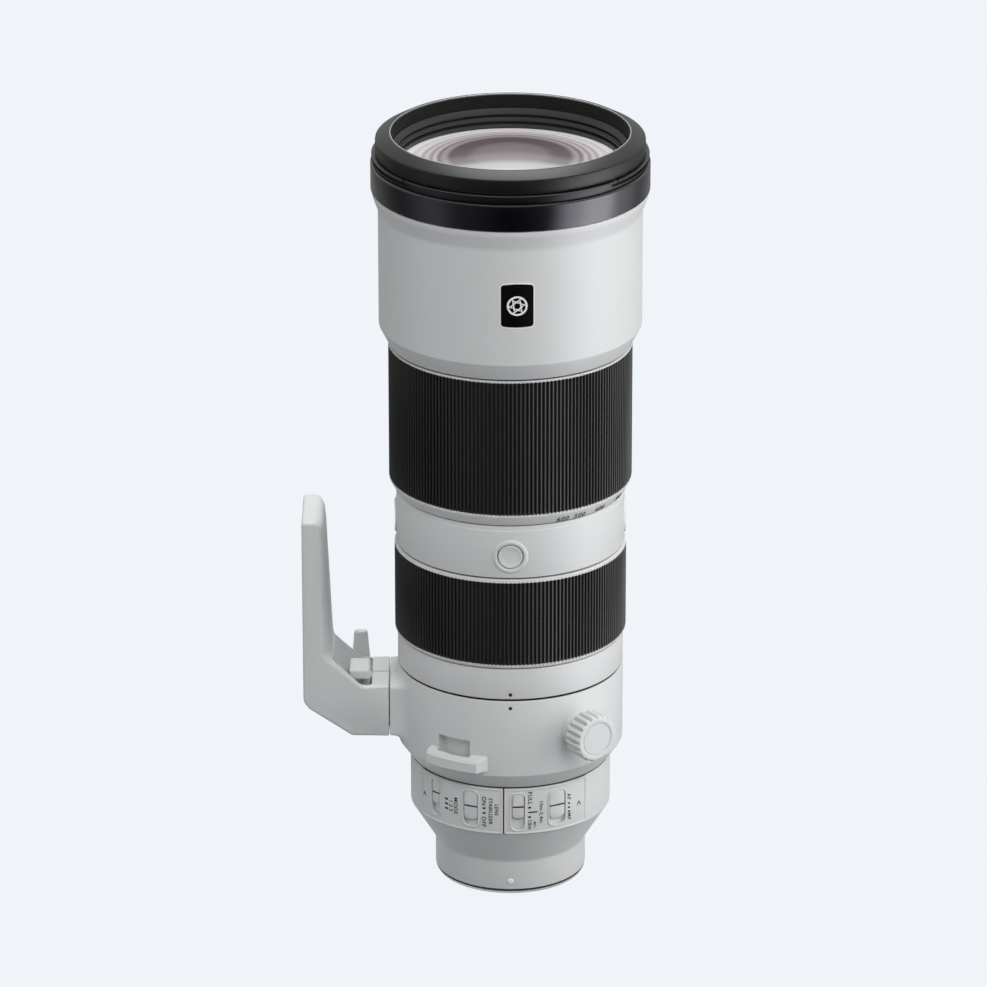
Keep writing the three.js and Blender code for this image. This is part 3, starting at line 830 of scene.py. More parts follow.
class LENS_OT_rear_barrel(bpy.types.Operator):
    """Model the rear barrel with its two switch panels and their marks"""

    bl_idname = "lens.rear_barrel"
    bl_label = "Rear barrel"

    def execute(self, context):
        whole = Span("rear_barrel")
        panel = Span("switch_panel_left")
        neck, shoulder = 30.85, whole.radius
        barrel = turned("barrel_rear", rounded([
            (23.3, 2.2), (neck, 2.2, 0.3), (neck, 14.9, 4.0), (shoulder, 31.3, 1.2),
            (shoulder, 52.0, 0.3), (39.4, 52.0), (39.4, 62.0), (37.8, 62.0), (37.8, 32.0),
            (28.6, 15.5), (28.6, 8.0), (23.3, 8.0)]))
        bed = curved_block("bed", 40.2, 44, PANEL_EDGES[0] - 0.35, PANEL_EDGES[2] + 0.35,
                           panel.bottom - 0.3, 53, 0.05)
        cut(barrel, bed)
        for angle in LENS_OT_mount.screw_angles:
            hole = turned("hole", [(0, 1), (1.25, 1), (1.25, 6.4), (0, 6.6)], 20, on_axis=True)
            hole.data.transform(Matrix.Translation(
                on_barrel(LENS_OT_mount.screw_circle, angle)(0, 0, 0)))
            cut(barrel, hole)
        finished(barrel, "root", "white_paint", white_paint(), "rear_barrel")
        self.index_dot()
        plates = {"left": PANEL_EDGES[:2], "right": PANEL_EDGES[1:]}
        for side, (start, end) in plates.items():
            self.panel(side, start + 0.3 * (side == "right"), end - 0.3 * (side == "left"), panel)
        # Painted shade: a dark strip under the gap between the two panels stands in for the shade
        # in the gap.
        gap_shade_strip = curved_block("panel_gap_shade", 40.0, 40.9, PANEL_EDGES[1] - 0.45,
                             PANEL_EDGES[1] + 0.45, panel.bottom + 0.2, panel.top - 0.2, 0.05)
        finished(gap_shade_strip, "root", "matte_black", deep_black())
        self.marks()
        return {"FINISHED"}

    def index_dot(self):
        dot = turned("mount_index_dot", [(0, -0.4), (1.25, -0.4), (1.25, 0.2), (1.0, 0.5),
                                         (0.5, 0.62), (0, 0.65)], 32, on_axis=True)
        dot.data.transform(radial_axis(0, 5.8) @ Matrix.Translation((0, 0, 30.85)))
        finished(dot, "root", "white_paint", white_enamel())

    def panel(self, side, start, end, span):
        outer = 41.6
        plate = curved_block(f"panel_{side}", 40.5, outer, start, end, span.bottom, span.top,
                             0.35, 1.5)
        rims = []
        for name, (low, high) in SWITCHES.items():
            if not start < (low + high) / 2 < end:
                continue
            bottom, top = SLOT_HEIGHTS[name]
            bottom, top = bottom + 0.5, top - 0.5
            width = math.radians(high - low) * outer - 2 * RIM_WIDTH
            bend = on_barrel(outer, (low + high) / 2, (bottom + top) / 2)
            corner = min(2.2, width * 0.38)
            cut(plate, plug("slot", width, top - bottom, corner, -3, 2, bend))
            hump = [(0.0, -0.9), (0.02, 0.2), (0.14, 0.36), (0.38, 0.42), (0.62, 0.32),
                    (RIM_WIDTH, 0.04), (RIM_WIDTH + 0.05, -0.3)]
            rims.append(rim("slot_rim", width, top - bottom, corner, hump, bend))
        finished(plate, "root", "white_paint", white_paint(), f"switch_panel_{side}")
        finished(joined(f"slot_rims_{side}", rims), "root", "white_paint", white_paint())
        edge = on_barrel(outer, (start + end) / 2, (span.bottom + span.top) / 2)
        width = math.radians(end - start) * outer
        lip = [(-1.0, -0.3), (-0.9, 0.16), (-0.6, 0.28), (-0.3, 0.26), (-0.1, 0.05),
               (-0.1, -0.3)]
        border = rim(f"panel_border_{side}", width, span.top - span.bottom, 1.4, lip, edge, 24)
        finished(border, "root", "white_paint", white_paint())

    def marks(self):
        """Generic words, figures and ticks, read from top to bottom."""
        words = [("MODE", -32.4, 41.7, 1.0), ("1 2 3", -35.7, 41.2, 0.9),
                 ("ON", -15.1, 46.1, 1.0), ("OFF", -15.2, 36.9, 1.0),
                 ("STABILIZER", -11.3, 41.8, 0.85), ("LENS", -7.9, 42.6, 0.85),
                 ("FULL", 11.0, 47.6, 1.0), ("10m", 10.9, 35.9, 0.95),
                 ("10m-2.4m", 17.5, 41.1, 0.9), ("∞-", 13.8, 35.7, 0.9),
                 ("AF", 34.9, 45.4, 0.95), ("MF", 35.0, 36.6, 0.95)]
        pieces = []
        for text, angle, height, scale in words:
            bend = on_barrel(41.6, angle, height)
            pieces.append(lettering("word", text, sizes().label_size * scale,
                                    lambda along, up, out, bend=bend: bend(up, out + 0.02,
                                                                           -along)))
        ticks = [(-38.7, 43.7, 1.6), (-38.7, 41.6, 1.6), (-38.7, 39.5, 1.6),
                 (-14.9, 42.9, 1.2), (-14.9, 40.8, 1.2), (10.8, 43.4, 1.2), (10.8, 39.2, 1.2),
                 (35.0, 42.4, 1.0), (35.0, 40.6, 1.0), (35.0, 38.8, 1.0)]
        for angle, height, width in ticks:
            bend = on_barrel(41.6, angle, height)
            pieces.append(plug("tick", width, 0.8, 0.12, -0.05, 0.05, bend))
        pieces.append(plug("bar", 3.9, 0.6, 0.1, -0.05, 0.05, on_barrel(41.6, 12.7, 41.3)))
        for angle, height in ((-57.2, 41.8), (42.1, 41.2)):
            bend = on_barrel(41.6, angle, height)
            for side in (-1, 1):
                corners = [(0, 1.2), (side * 1.2, -0.9), (side * 0.75, -1.0), (0, 0.3)]
                pieces.append(lofted("arrow", [[bend(x, out, z) for x, z in corners]
                                               for out in (-0.05, 0.05)]))
        finished(joined("panel_marks", pieces), "root", "matte_black", printed_ink())


class LENS_OT_switches(bpy.types.Operator):
    """Model the four slide switches"""

    bl_idname = "lens.switches"
    bl_label = "Slide switches"

    def execute(self, context):
        for name, (start, end) in SWITCHES.items():
            span = Span(name)
            middle = (start + end) / 2
            width = math.radians(end - start) * 41.6 - 2 * RIM_WIDTH - 0.5
            bend = on_barrel(41.6, middle, (span.bottom + span.top) / 2)
            height = span.top - span.bottom
            corner = min(1.9, width * 0.36)
            loop = rounded_loop(width, height, corner, straight=4, arcs=6)
            levels = [(-1.2, 0.0), (-0.15, 0.0), (0.05, -0.12), (0.16, -0.4)]
            loops = [[bend(x + nx * inset, out, z + nz * inset) for x, z, nx, nz in loop]
                     for out, inset in levels]
            slider = lofted(name + "_slider", loops)
            groove = plug("groove", width + 1, 0.7, 0.12, -0.25, 1,
                          on_barrel(41.6, middle, span.bottom + height * 0.46))
            cut(slider, groove)
            finished(slider, name, "white_paint", white_paint(), name)
            line = plug(name + "_line", width - 0.3, 0.66, 0.1, -0.5, 0.1,
                        on_barrel(41.6, middle, span.bottom + height * 0.46))
            finished(line, name, "matte_black", printed_ink())
        return {"FINISHED"}


# ------------------------------------------------------------------ fixed rings

BUTTON_HEIGHT = 155.6
BUTTON_ANGLES = {"left": -90, "front": 0, "right": 90}
BUTTON_RADIUS = 4.9


class LENS_OT_fixed_rings(bpy.types.Operator):
    """Model the index ring and the middle barrel with its hold buttons"""

    bl_idname = "lens.fixed_rings"
    bl_label = "Fixed rings"

    def execute(self, context):
        index = Span("index_ring")
        band = turned("ring_index", rounded([
            (43, index.bottom), (index.radius, index.bottom, 0.35),
            (index.radius, index.top - 0.1, 0.25), (43, index.top - 0.1)]))
        finished(band, "root", "white_paint", white_paint(), "index_ring")
        dot(index.radius, 0, index.bottom + 2.0, "index_dot", "root")
        middle = Span("middle_barrel")
        outer = 46.3
        barrel = turned("barrel_middle", rounded([
            (43, middle.bottom + 0.15), (outer, middle.bottom + 0.15, 0.3),
            (outer, middle.top - 2.1, 0.15),
            (outer - 0.3, middle.top - 1.9, 0.1), (outer - 0.3, middle.top, 0.15),
            (43, middle.top)]))
        for side, angle in BUTTON_ANGLES.items():
            hole = turned("hole", [(0, 40), (BUTTON_RADIUS + 0.3, 40), (BUTTON_RADIUS + 0.3, 50),
                                   (0, 50)], 64, on_axis=True)
            hole.data.transform(radial_axis(angle, BUTTON_HEIGHT))
            cut(barrel, hole)
        finished(barrel, "root", "white_paint", white_paint(), "middle_barrel")
        hump = [(0.45, -1.2), (0.45, 0.3), (0.55, 0.52), (0.8, 0.66), (1.25, 0.7),
                (1.7, 0.62), (2.05, 0.42), (2.25, 0.12), (2.35, -0.1), (2.35, -0.6)]
        for side, angle in BUTTON_ANGLES.items():
            across = 2 * BUTTON_RADIUS
            bend = on_barrel(outer, angle, BUTTON_HEIGHT)
            raised = rim(f"button_rim_{side}", across, across, BUTTON_RADIUS - 0.01, hump, bend,
                         1)
            finished(raised, "root", "white_paint", white_paint())
            self.button(side, angle, outer)
        return {"FINISHED"}

    def button(self, side, angle, barrel):
        bend = on_barrel(barrel, angle, BUTTON_HEIGHT)
        profile = [(BUTTON_RADIUS, -2.7), (BUTTON_RADIUS, 0.2), (BUTTON_RADIUS - 0.12, 0.42),
                   (BUTTON_RADIUS - 0.4, 0.54), (BUTTON_RADIUS - 0.75, 0.5),
                   (BUTTON_RADIUS - 1.0, 0.36), (2.0, 0.3), (0.01, 0.28)]
        count = 64
        loops = [[bend(radius * math.cos(math.tau * k / count), out,
                       radius * math.sin(math.tau * k / count)) for k in range(count)]
                 for radius, out in profile]
        button = lofted(f"button_{side}", loops)
        finished(button, f"hold_button_{side}", "white_paint", white_paint(),
                 f"hold_button_{side}")


def dot(radius, angle, height, name, body, size=0.75):
    """A small round printed mark on the side of the lens."""
    bend = on_barrel(radius, angle, height)
    mark = plug(name, 2 * size, 2 * size, size - 0.01, -0.1, 0.04, bend)
    finished(mark, body, "matte_black", printed_ink())


# ------------------------------------------------------------------ grips


def ribbed_sleeve(name, inner, outer, bottom, top, ribs, depth=None, slope=0.5):
    """A rubber sleeve with upright ribs: one rib is shaped and then repeated by spinning."""
    depth = depth or sizes().rib_depth
    pitch = math.tau / ribs
    columns = [(0.0, 0.0), (0.2, 0.02), (0.25, 0.45), (0.31, 0.75), (0.39, 0.94), (0.5, 1.0),
               (0.61, 0.94), (0.69, 0.75), (0.75, 0.45), (0.8, 0.02), (1.0, 0.0)]
    floor = outer - depth
    rows = [(inner, bottom, 0), (floor, bottom, 0), (floor, bottom + slope / 4, 0.55),
            (floor, bottom + slope, 1), (floor, top - slope, 1), (floor, top - slope / 4, 0.55),
            (floor, top, 0), (inner, top, 0), (inner, bottom, 0)]

    def place(column, row):
        part, lift = columns[column]
        base, height, share = rows[row]
        radius = base + depth * lift * share
        turn = part * pitch
        return (radius * math.sin(turn), -radius * math.cos(turn), height)

    sleeve = mapped(name, len(columns) - 1, len(rows) - 1, place)

    def repeat():
        bpy.ops.mesh.spin(steps=ribs - 1, dupli=True, angle=math.tau * (ribs - 1) / ribs,
                          center=(0, 0, 0), axis=(0, 0, 1))

    in_edit(sleeve, repeat, merge_points, face_outwards)
    return sleeve


def toothed_edges(name, grip, ribs, body):
    """Fine white teeth that stand between a grip's ribs at its two ends."""
    ends = []
    for low in (grip.bottom - 0.35, grip.top - 0.25):
        ends.append(ribbed_sleeve("teeth", grip.radius - 1.3, grip.radius + 0.02, low, low + 0.6,
                                  ribs, 0.5, 0.12))
    finished(joined(name, ends), body, "white_paint", white_paint())


class LENS_OT_zoom_ring(bpy.types.Operator):
    """Model the zoom ring, its rubber grip and its scale"""

    bl_idname = "lens.zoom_ring"
    bl_label = "Zoom ring"

    figures = {600: 26.3, 500: 35.9, 400: 49.2, 300: 66.0, 200: 90.0}

    def execute(self, context):
        ring = Span("zoom_ring")
        grip = Span("zoom_grip")
        skirt_top = grip.bottom - 0.3
        lip = ring.top - 0.5
        sleeve = turned("ring_zoom", rounded([
            (44.3, ring.bottom + 0.2), (46.5, ring.bottom + 0.2, 0.3),
            (48.9, skirt_top - 0.3, 0.2), (48.9, skirt_top, 0.15), (47.5, skirt_top, 0.1),
            (47.5, lip - 0.15, 0.1), (49.1, lip - 0.15, 0.15), (49.1, ring.top - 0.2, 0.2),
            (44.3, ring.top - 0.2)], 0.2))
        finished(sleeve, "zoom_ring", "white_paint", white_paint(), "zoom_ring")
        rubber = ribbed_sleeve("grip_zoom", 47.8, grip.radius, grip.bottom, grip.top,
                               sizes().zoom_ribs)
        finished(rubber, "zoom_ring", "grip_rubber", grip_rubber(), "zoom_grip")
        toothed_edges("zoom_teeth", grip, sizes().zoom_ribs, "zoom_ring")
        self.scale(ring.bottom, skirt_top - 0.3)
        return {"FINISHED"}

    def scale(self, bottom, top):
        low, high = Vector((46.5, bottom)), Vector((48.9, top))
        slope = (high - low).normalized()
        away = Vector((slope.y, -slope.x))
        centre = low + (high - low) * 0.33
        pieces = []
        for figure, angle in self.figures.items():

            def place(along, up, out, angle=angle):
                point = centre + slope * up + away * (out + 0.02)
                turn = math.radians(angle) + along / centre.x
                return (point.x * math.sin(turn), -point.x * math.cos(turn), point.y)

            pieces.append(lettering("figure", str(figure), sizes().scale_size, place))
        finished(joined("zoom_scale", pieces), "zoom_ring", "matte_black", printed_ink())


class LENS_OT_focus_ring(bpy.types.Operator):
    """Model the focus ring and its rubber grip"""

    bl_idname = "lens.focus_ring"
    bl_label = "Focus ring"

    def execute(self, context):
        ring = Span("focus_ring")
        grip = Span("focus_grip")
        low, high = ring.bottom + 1.05, ring.top - 1.0
        sleeve = turned("ring_focus", rounded([
            (44.0, ring.bottom + 0.2), (ring.radius, ring.bottom + 0.2, 0.2),
            (ring.radius + 0.15, low, 0.2), (45.6, low, 0.1), (45.6, high, 0.1),
            (ring.radius + 0.15, high, 0.2), (ring.radius, ring.top - 0.2, 0.2),
            (44.0, ring.top - 0.2)], 0.2))
        finished(sleeve, "focus_ring", "white_paint", white_paint(), "focus_ring")
        rubber = ribbed_sleeve("grip_focus", 45.75, grip.radius, grip.bottom, grip.top,
                               sizes().focus_ribs)
        finished(rubber, "focus_ring", "grip_rubber", grip_rubber(), "focus_grip")
        toothed_edges("focus_teeth", grip, sizes().focus_ribs, "focus_ring")
        return {"FINISHED"}


# ------------------------------------------------------------------ front of the lens


class LENS_OT_front(bpy.types.Operator):
    """Model the front barrel, badge, hood ring, front rim and front glass"""

    bl_idname = "lens.front"
    bl_label = "Front of the lens"

    badge_angle = 2.9

    def execute(self, context):
        self.barrel()
        self.badge()
        self.hood_ring()
        self.front_rim()
        self.glass()
        return {"FINISHED"}

    def barrel(self):
        span = Span("front_barrel")
        body = 52.85
        barrel = turned("barrel_front", rounded([
            (42.4, span.bottom + 0.2), (49.0, span.bottom + 0.2, 0.25),
            (body, 239.3, 1.6), (body, 287.6, 7.0), (54.9, 293.2, 1.6),
            (span.radius, span.top, 0.3), (50.3, span.top), (50.3, 241.0), (47.5, 237.0),
            (42.4, 237.0)]))
        finished(barrel, "root", "white_paint", white_paint(), "front_barrel")

    def badge(self):
        span = Span("badge_plate")
        height = span.top - span.bottom - 0.6
        width = 12.9
        bend = on_barrel(52.85, self.badge_angle, (span.bottom + span.top) / 2)

        def bowed(x, z):
            """Lets the top and bottom edges rise towards the middle."""
            return z + 0.55 * (2 * z / height) ** 3 * (1 - (2 * x / width) ** 2)

        def plate(name, grow, low, high):
            loop = rounded_loop(width + grow, height + grow, 1.1 + grow / 2, straight=8)
            levels = [(low, 0.0, 1), (high - 0.06, 0.0, 1), (high, -0.06, 1)]
            levels += [(high, -0.06, share) for share in (0.85, 0.7, 0.5, 0.3, 0.1, 0.004)]
            return lofted(name, [[bend((x + nx * inset) * share, out,
                                       bowed(x, z + nz * inset) * (0.9 * share + 0.1))
                                  for x, z, nx, nz in loop] for out, inset, share in levels])

        finished(plate("badge_edge", 1.0, -0.3, 0.14), "root", "white_paint", white_enamel())
        finished(plate("badge", 0.0, -0.3, 0.22), "root", "gloss_black", gloss_black(),
                 "badge_plate")
        mark_radius = 4.1
        lines = [rim("ring", 2 * mark_radius, 2 * mark_radius, mark_radius - 0.01,
                     [(-0.8, 0.1), (-0.8, 0.28), (0.0, 0.28), (0.0, 0.1)], bend, 1)]
        for index in range(6):
            turn = math.radians(60 * index)
            start = Vector((mark_radius - 0.3, 0))
            end = Vector((mark_radius * 0.5 * math.cos(2.0), mark_radius * 0.5 * math.sin(2.0)))
            along = (end - start).normalized()
            end = start + along * 5.4
            side = Vector((-along.y, along.x)) * 0.26
            spin = Matrix.Rotation(turn, 2)
            corners = [spin @ point for point in (start - side, start + side, end + side,
                                                  end - side)]
            lines.append(lofted("bar", [[bend(x, out, z) for x, z in corners]
                                        for out in (0.1, 0.275)]))
        finished(joined("badge_mark", lines), "root", "white_paint", white_enamel())

    def hood_ring(self):
        span = Span("hood_ring")
        edge = span.radius
        ledge = edge - 0.45
        band = turned("band", rounded([
            (51.2, span.bottom), (edge, span.bottom, 0.3), (edge, 306.5, 0.35),
            (edge - 0.75, 307.1, 0.2), (54.4, 307.1, 0.1), (51.2, 307.1)], 0.2))
        finished(band, "root", "gloss_black", gloss_black(), "hood_ring")
        seat = turned("hood_seat", rounded([
            (51.2, 307.3), (54.7, 307.3, 0.1), (54.7, 308.0, 0.1), (ledge, 308.2, 0.2),
            (ledge, span.top - 0.1, 0.3), (54.5, span.top, 0.2), (51.2, span.top)], 0.2))
        for side in (-1, 1):
            start, end = sorted((side * 46, side * 92))
            channel = curved_block("channel", 54.1, 57, start, end, 308.75, 309.95, 0.1)
            cut(seat, channel)
            entry = curved_block("entry", 54.1, 57, side * 49.4 - 1.2, side * 49.4 + 1.2, 309.4,
                                 312, 0.1)
            cut(seat, entry)
        finished(seat, "root", "matte_black", satin_black())

    def front_rim(self):
        span = Span("front_rim")
        bore = 47.5
        thread = []
        pitch = 0.75
        for turn in range(6):
            height = span.top - 1.1 - turn * pitch
            thread += [(bore, height, 0.03), (bore + 0.34, height - pitch / 2, 0.03)]
        thread.append((bore, span.top - 1.1 - 6 * pitch, 0.03))
        liner = bore + 0.6
        outline = rounded([
            (liner, span.bottom), (50.8, span.bottom), (50.8, 311.0), (span.radius, 311.0, 0.35),
            (span.radius, 316.6, 0.7), (48.9, span.top, 0.3), (liner, span.top, 0.1)], 0.2, 3)
        rim_piece = turned("rim_front", outline)
        finished(rim_piece, "root", "matte_black", rim_black(), "front_rim")
        sleeve = turned("filter_thread", rounded(
            [(bore, span.bottom), (liner, span.bottom), (liner, span.top - 0.1),
             (bore, span.top - 0.5, 0.1)] + thread, 0.1, 3))
        finished(sleeve, "root", "matte_black", deep_black())
        ring = Span("retaining_ring")
        inner = 44.3
        stepped = turned("retainer", rounded([
            (inner, ring.bottom), (ring.radius, ring.bottom), (ring.radius, ring.top, 0.15),
            (46.8, ring.top, 0.15), (45.2, 311.5, 0.2), (45.2, 311.1, 0.1), (46.6, 310.9, 0.1),
            (46.6, 310.3, 0.1), (45.1, 310.0, 0.2), (44.5, 309.0, 0.2), (44.5, 308.6, 0.1),
            (46.2, 308.4, 0.1), (46.2, 307.6, 0.1), (inner, 307.2, 0.15)], 0.15))
        finished(stepped, "root", "matte_black", ledge_black(), "retaining_ring")
        # Painted highlights: thin grey rings on the top edge of the gloss band, the top edge of
        # the seat and the lower edge of the rim stand in for bright edge highlights.
        worn = []
        for radius, height in ((55.68, 306.75), (55.28, 310.45), (53.7, 311.15)):
            worn.append(turned("worn", [(radius, height - 0.07), (radius + 0.07, height),
                                        (radius, height + 0.07), (radius - 0.07, height)]))
        finished(joined("painted_edge_highlights", worn), "root", "matte_black", worn_edge())
        lip = turned("rim_edge", rounded([
            (bore + 0.02, span.top - 0.7), (bore + 0.55, span.top - 0.7),
            (bore + 0.62, span.top + 0.03, 0.15), (bore + 0.12, span.top + 0.03, 0.15)], 0.05))
        finished(lip, "root", "matte_black", edge_metal())

    def glass(self):
        dome("glass_front", "front_element", 4.2, 1.5, "root")
        cell = Span("front_lens_cell")
        holder = turned("front_cell", rounded([
            (42.6, cell.bottom), (cell.radius, cell.bottom), (cell.radius, cell.top),
            (45.6, cell.top), (45.6, 290.0), (42.6, 290.0)]))
        finished(holder, "root", "tube_aluminium", tube_aluminium(), "front_lens_cell")


def dome(name, node, rise, hollow, body):
    """A lens element: a crown of its own curve above, and a gentle curve below."""
    span = Span(node)
    edge = span.radius
    top, bottom = span.top - rise, span.bottom + abs(hollow) * (hollow < 0)
    rings = 10
    under = [(edge * k / rings, bottom + hollow * (1 - (k / rings) ** 2)) for k in range(rings)]
    over = [(edge * k / rings, top + rise * (1 - (k / rings) ** 2)) for k in range(rings)]
    outline = under + [(edge - 0.2, bottom), (edge, bottom + 0.2), (edge, top - 0.25),
                       (edge - 0.2, top)] + over[::-1]
    piece = turned(name, outline, 128, on_axis=True)
    return finished(piece, body, "lens_glass", coated_glass(), node)


# ------------------------------------------------------------------ tripod collar

LUG_ANGLES = (-44.0, -35.6, -19.6, -11.5)
FOOT_HALF = 16.3
KNOB_ANGLE = 36.0
KNOB_HEIGHT = 77.0
KNOB_RADIUS = 9.8
KNOB_FACE = 59.7


class LENS_OT_collar(bpy.types.Operator):
    """Model the tripod collar with its base, strap lugs and knob"""

    bl_idname = "lens.collar"
    bl_label = "Tripod collar"

    def execute(self, context):
        span = Span("tripod_collar")
        self.ring_radius = 46.0
        collar = turned("collar", rounded([
            (40.6, span.bottom, 0.2), (40.9, span.bottom, 0.2), (self.ring_radius, 59.5, 1.2),
            (self.ring_radius, span.top, 0.35), (42.6, span.top), (42.6, 57.9), (40.6, 57.5)]))
        join_to(collar, self.base())
        join_to(collar, self.rail())
        join_to(collar, self.knob_seat())
        bore = turned("bore", [(0, 40), (2.6, 40), (2.6, 52), (0, 52)], 32, on_axis=True)
        bore.data.transform(radial_axis(KNOB_ANGLE, KNOB_HEIGHT))
        cut(collar, bore)
        for mirror in (1, -1):
            self.lug(collar, mirror)
        finished(collar, "collar", "white_paint", white_paint(), "tripod_collar",
                 "strap_lug_front", "strap_lug_back")
        dot(self.ring_radius, 0, span.top - 2.9, "collar_dot", "collar")
        self.knob()
        return {"FINISHED"}

    def base(self):
        """The block under the foot, which flares into the ring all round."""
        middle, half_height, flare = 75.3, 11.0, 4.5
        loop = rounded_loop(2 * FOOT_HALF, 2 * half_height, 1.2, straight=8)
        loops = []
        for reach in (49.2, 48.7, 48.0, 47.3, 46.7, 46.1, 45.5, 45.0, 44.4, 43.8, 43.2, 42.6, 42.0,
                      41.4, 40.8, 40.2, 39.6, 39.0, 38.2):
            points = []
            for y, z, ny, nz in loop:
                grow = 0.0
                for _ in range(24):
                    gap = math.hypot(reach, y + ny * grow) - self.ring_radius
                    part = min(1.0, max(0.0, 1 - gap / flare))
                    grow = (grow + flare * (1 - math.sqrt(1 - part ** 2))) / 2
                grow -= 0.45 * (reach > 49)
                points.append((-reach, y + ny * grow, middle + z + nz * grow))
            loops.append(points)
        base = lofted("base", loops)
        clear = turned("clear", [(0, 50), (42.6, 50), (42.6, 100), (0, 100)], on_axis=True)
        return cut(base, clear)

    def rail(self):
        """The dovetail that the foot slides on."""
        section = [(-48.0, -6.5), (-48.0, 6.5), (-53.1, 9.0), (-53.1, -9.0)]
        rail = lofted("rail", [[(x, y, z) for x, y in section] for z in (64.8, 82.0)])
        return bevelled(rail, 0.25)

    def knob_seat(self):
        seat = turned("seat", [(0, 43.5), (7.5, 43.5), (7.5, 48.0), (7.0, 48.5), (0, 48.5)],
                      48, on_axis=True)
        seat.data.transform(radial_axis(KNOB_ANGLE, KNOB_HEIGHT))
        return seat

    def lug(self, collar, mirror):
        """A strap lug: a bridge over a pocket that is cut into the ring."""
        lug = Span("strap_lug_front")
        start, slot_start, slot_end, end = LUG_ANGLES
        inner, outer = 45.0, 49.9
        count = 24
        profile = []
        for index in range(count + 1):
            part = index / count
            angle = start + 0.6 + (end - 4.6 - start - 0.6) * part
            profile.append((angle, outer))
        profile = [(start, inner + 1.0), (start + 0.1, outer - 0.8)] + profile
        profile += [(end - 3.7, outer - 0.9), (end, inner + 1.0)]
        loops = []
        for height, drop, inset in ((lug.bottom, 0.0, 0.7), (lug.bottom + 0.7, 0.0, 0.0),
                                    (67.6, 1.0, 0.0), (68.3, 1.0, 0.7)):
            outside = []
            for angle, radius in profile:
                radius -= inset
                lean = drop * 2.0 * (radius - inner) / (outer - inner)
                turn = math.radians(angle)
                outside.append((radius * math.sin(turn), -radius * math.cos(turn),
                                height - lean))
            inside = []
            for index in range(len(profile)):
                angle = end + (start - end) * index / (len(profile) - 1)
                turn = math.radians(angle)
                inside.append((inner * math.sin(turn), -inner * math.cos(turn), height))
            loops.append(outside + inside)
        bridge = lofted("bridge", loops)
        slot = curved_block("slot", 43.0, 47.3, slot_start - 3.6, slot_end - 1.2, lug.bottom - 2,
                            70, 0.3)
        cut(bridge, slot)
        pocket = curved_block("pocket", 43.1, 47.5, slot_start - 3.6, slot_end - 1.2,
                              lug.bottom - 0.5, 73.9, 0.6)
        if mirror < 0:
            for piece in (bridge, pocket):
                piece.data.transform(Matrix.Diagonal((1, -1, 1, 1)))
                in_edit(piece, face_outwards)
        cut(collar, pocket)
        join_to(collar, bridge)

    def knob(self):
        """A knob with coarse grooves and a dished face."""
        grooves = sizes().knob_grooves
        per_groove = 10
        radius, face = KNOB_RADIUS, KNOB_FACE
        profile = [(0.01, 48.8, 0), (7.6, 48.8, 0), (7.9, 49.0, 0), (8.1, 50.4, 0),
                   (8.9, 50.6, 0.3), (radius - 0.3, 51.0, 1), (radius, 51.5, 1),
                   (radius, face - 1.6, 1), (radius - 0.15, face - 0.8, 0.8),
                   (radius - 0.6, face - 0.25, 0.2), (radius - 1.1, face, 0),
                   (7.05, face, 0), (6.95, face - 0.05, 0), (6.85, face - 0.35, 0),
                   (6.6, face - 0.35, 0), (6.5, face - 0.1, 0), (3.0, face - 0.1, 0),
                   (0.01, face - 0.1, 0)]
        count = grooves * per_groove
        depths = [1.0, 0.9, 0.25, 0.03, 0.0, 0.0, 0.0, 0.03, 0.25, 0.9]
        loops = []
        for width, out, share in profile:
            loop = []
            for k in range(count):
                depth = 1.7 * share * depths[k % per_groove]
                turn = math.tau * k / count
                reach = width - depth
                loop.append((reach * math.cos(turn), reach * math.sin(turn), out))
            loops.append(loop)
        knob = lofted("knob", loops)
        knob.data.transform(radial_axis(KNOB_ANGLE, KNOB_HEIGHT))
        finished(knob, "knob", "white_paint", white_paint(), "collar_knob")
        stem = turned("clamp_stem", [(0, 43.2), (1.9, 43.2), (2.2, 43.5), (2.2, 53), (0, 53)], 32,
                      on_axis=True)
        stem.data.transform(radial_axis(KNOB_ANGLE, KNOB_HEIGHT))
        finished(stem, "knob", "bright_steel", bright_steel(), "collar_clamp_screw")


# ------------------------------------------------------------------ foot


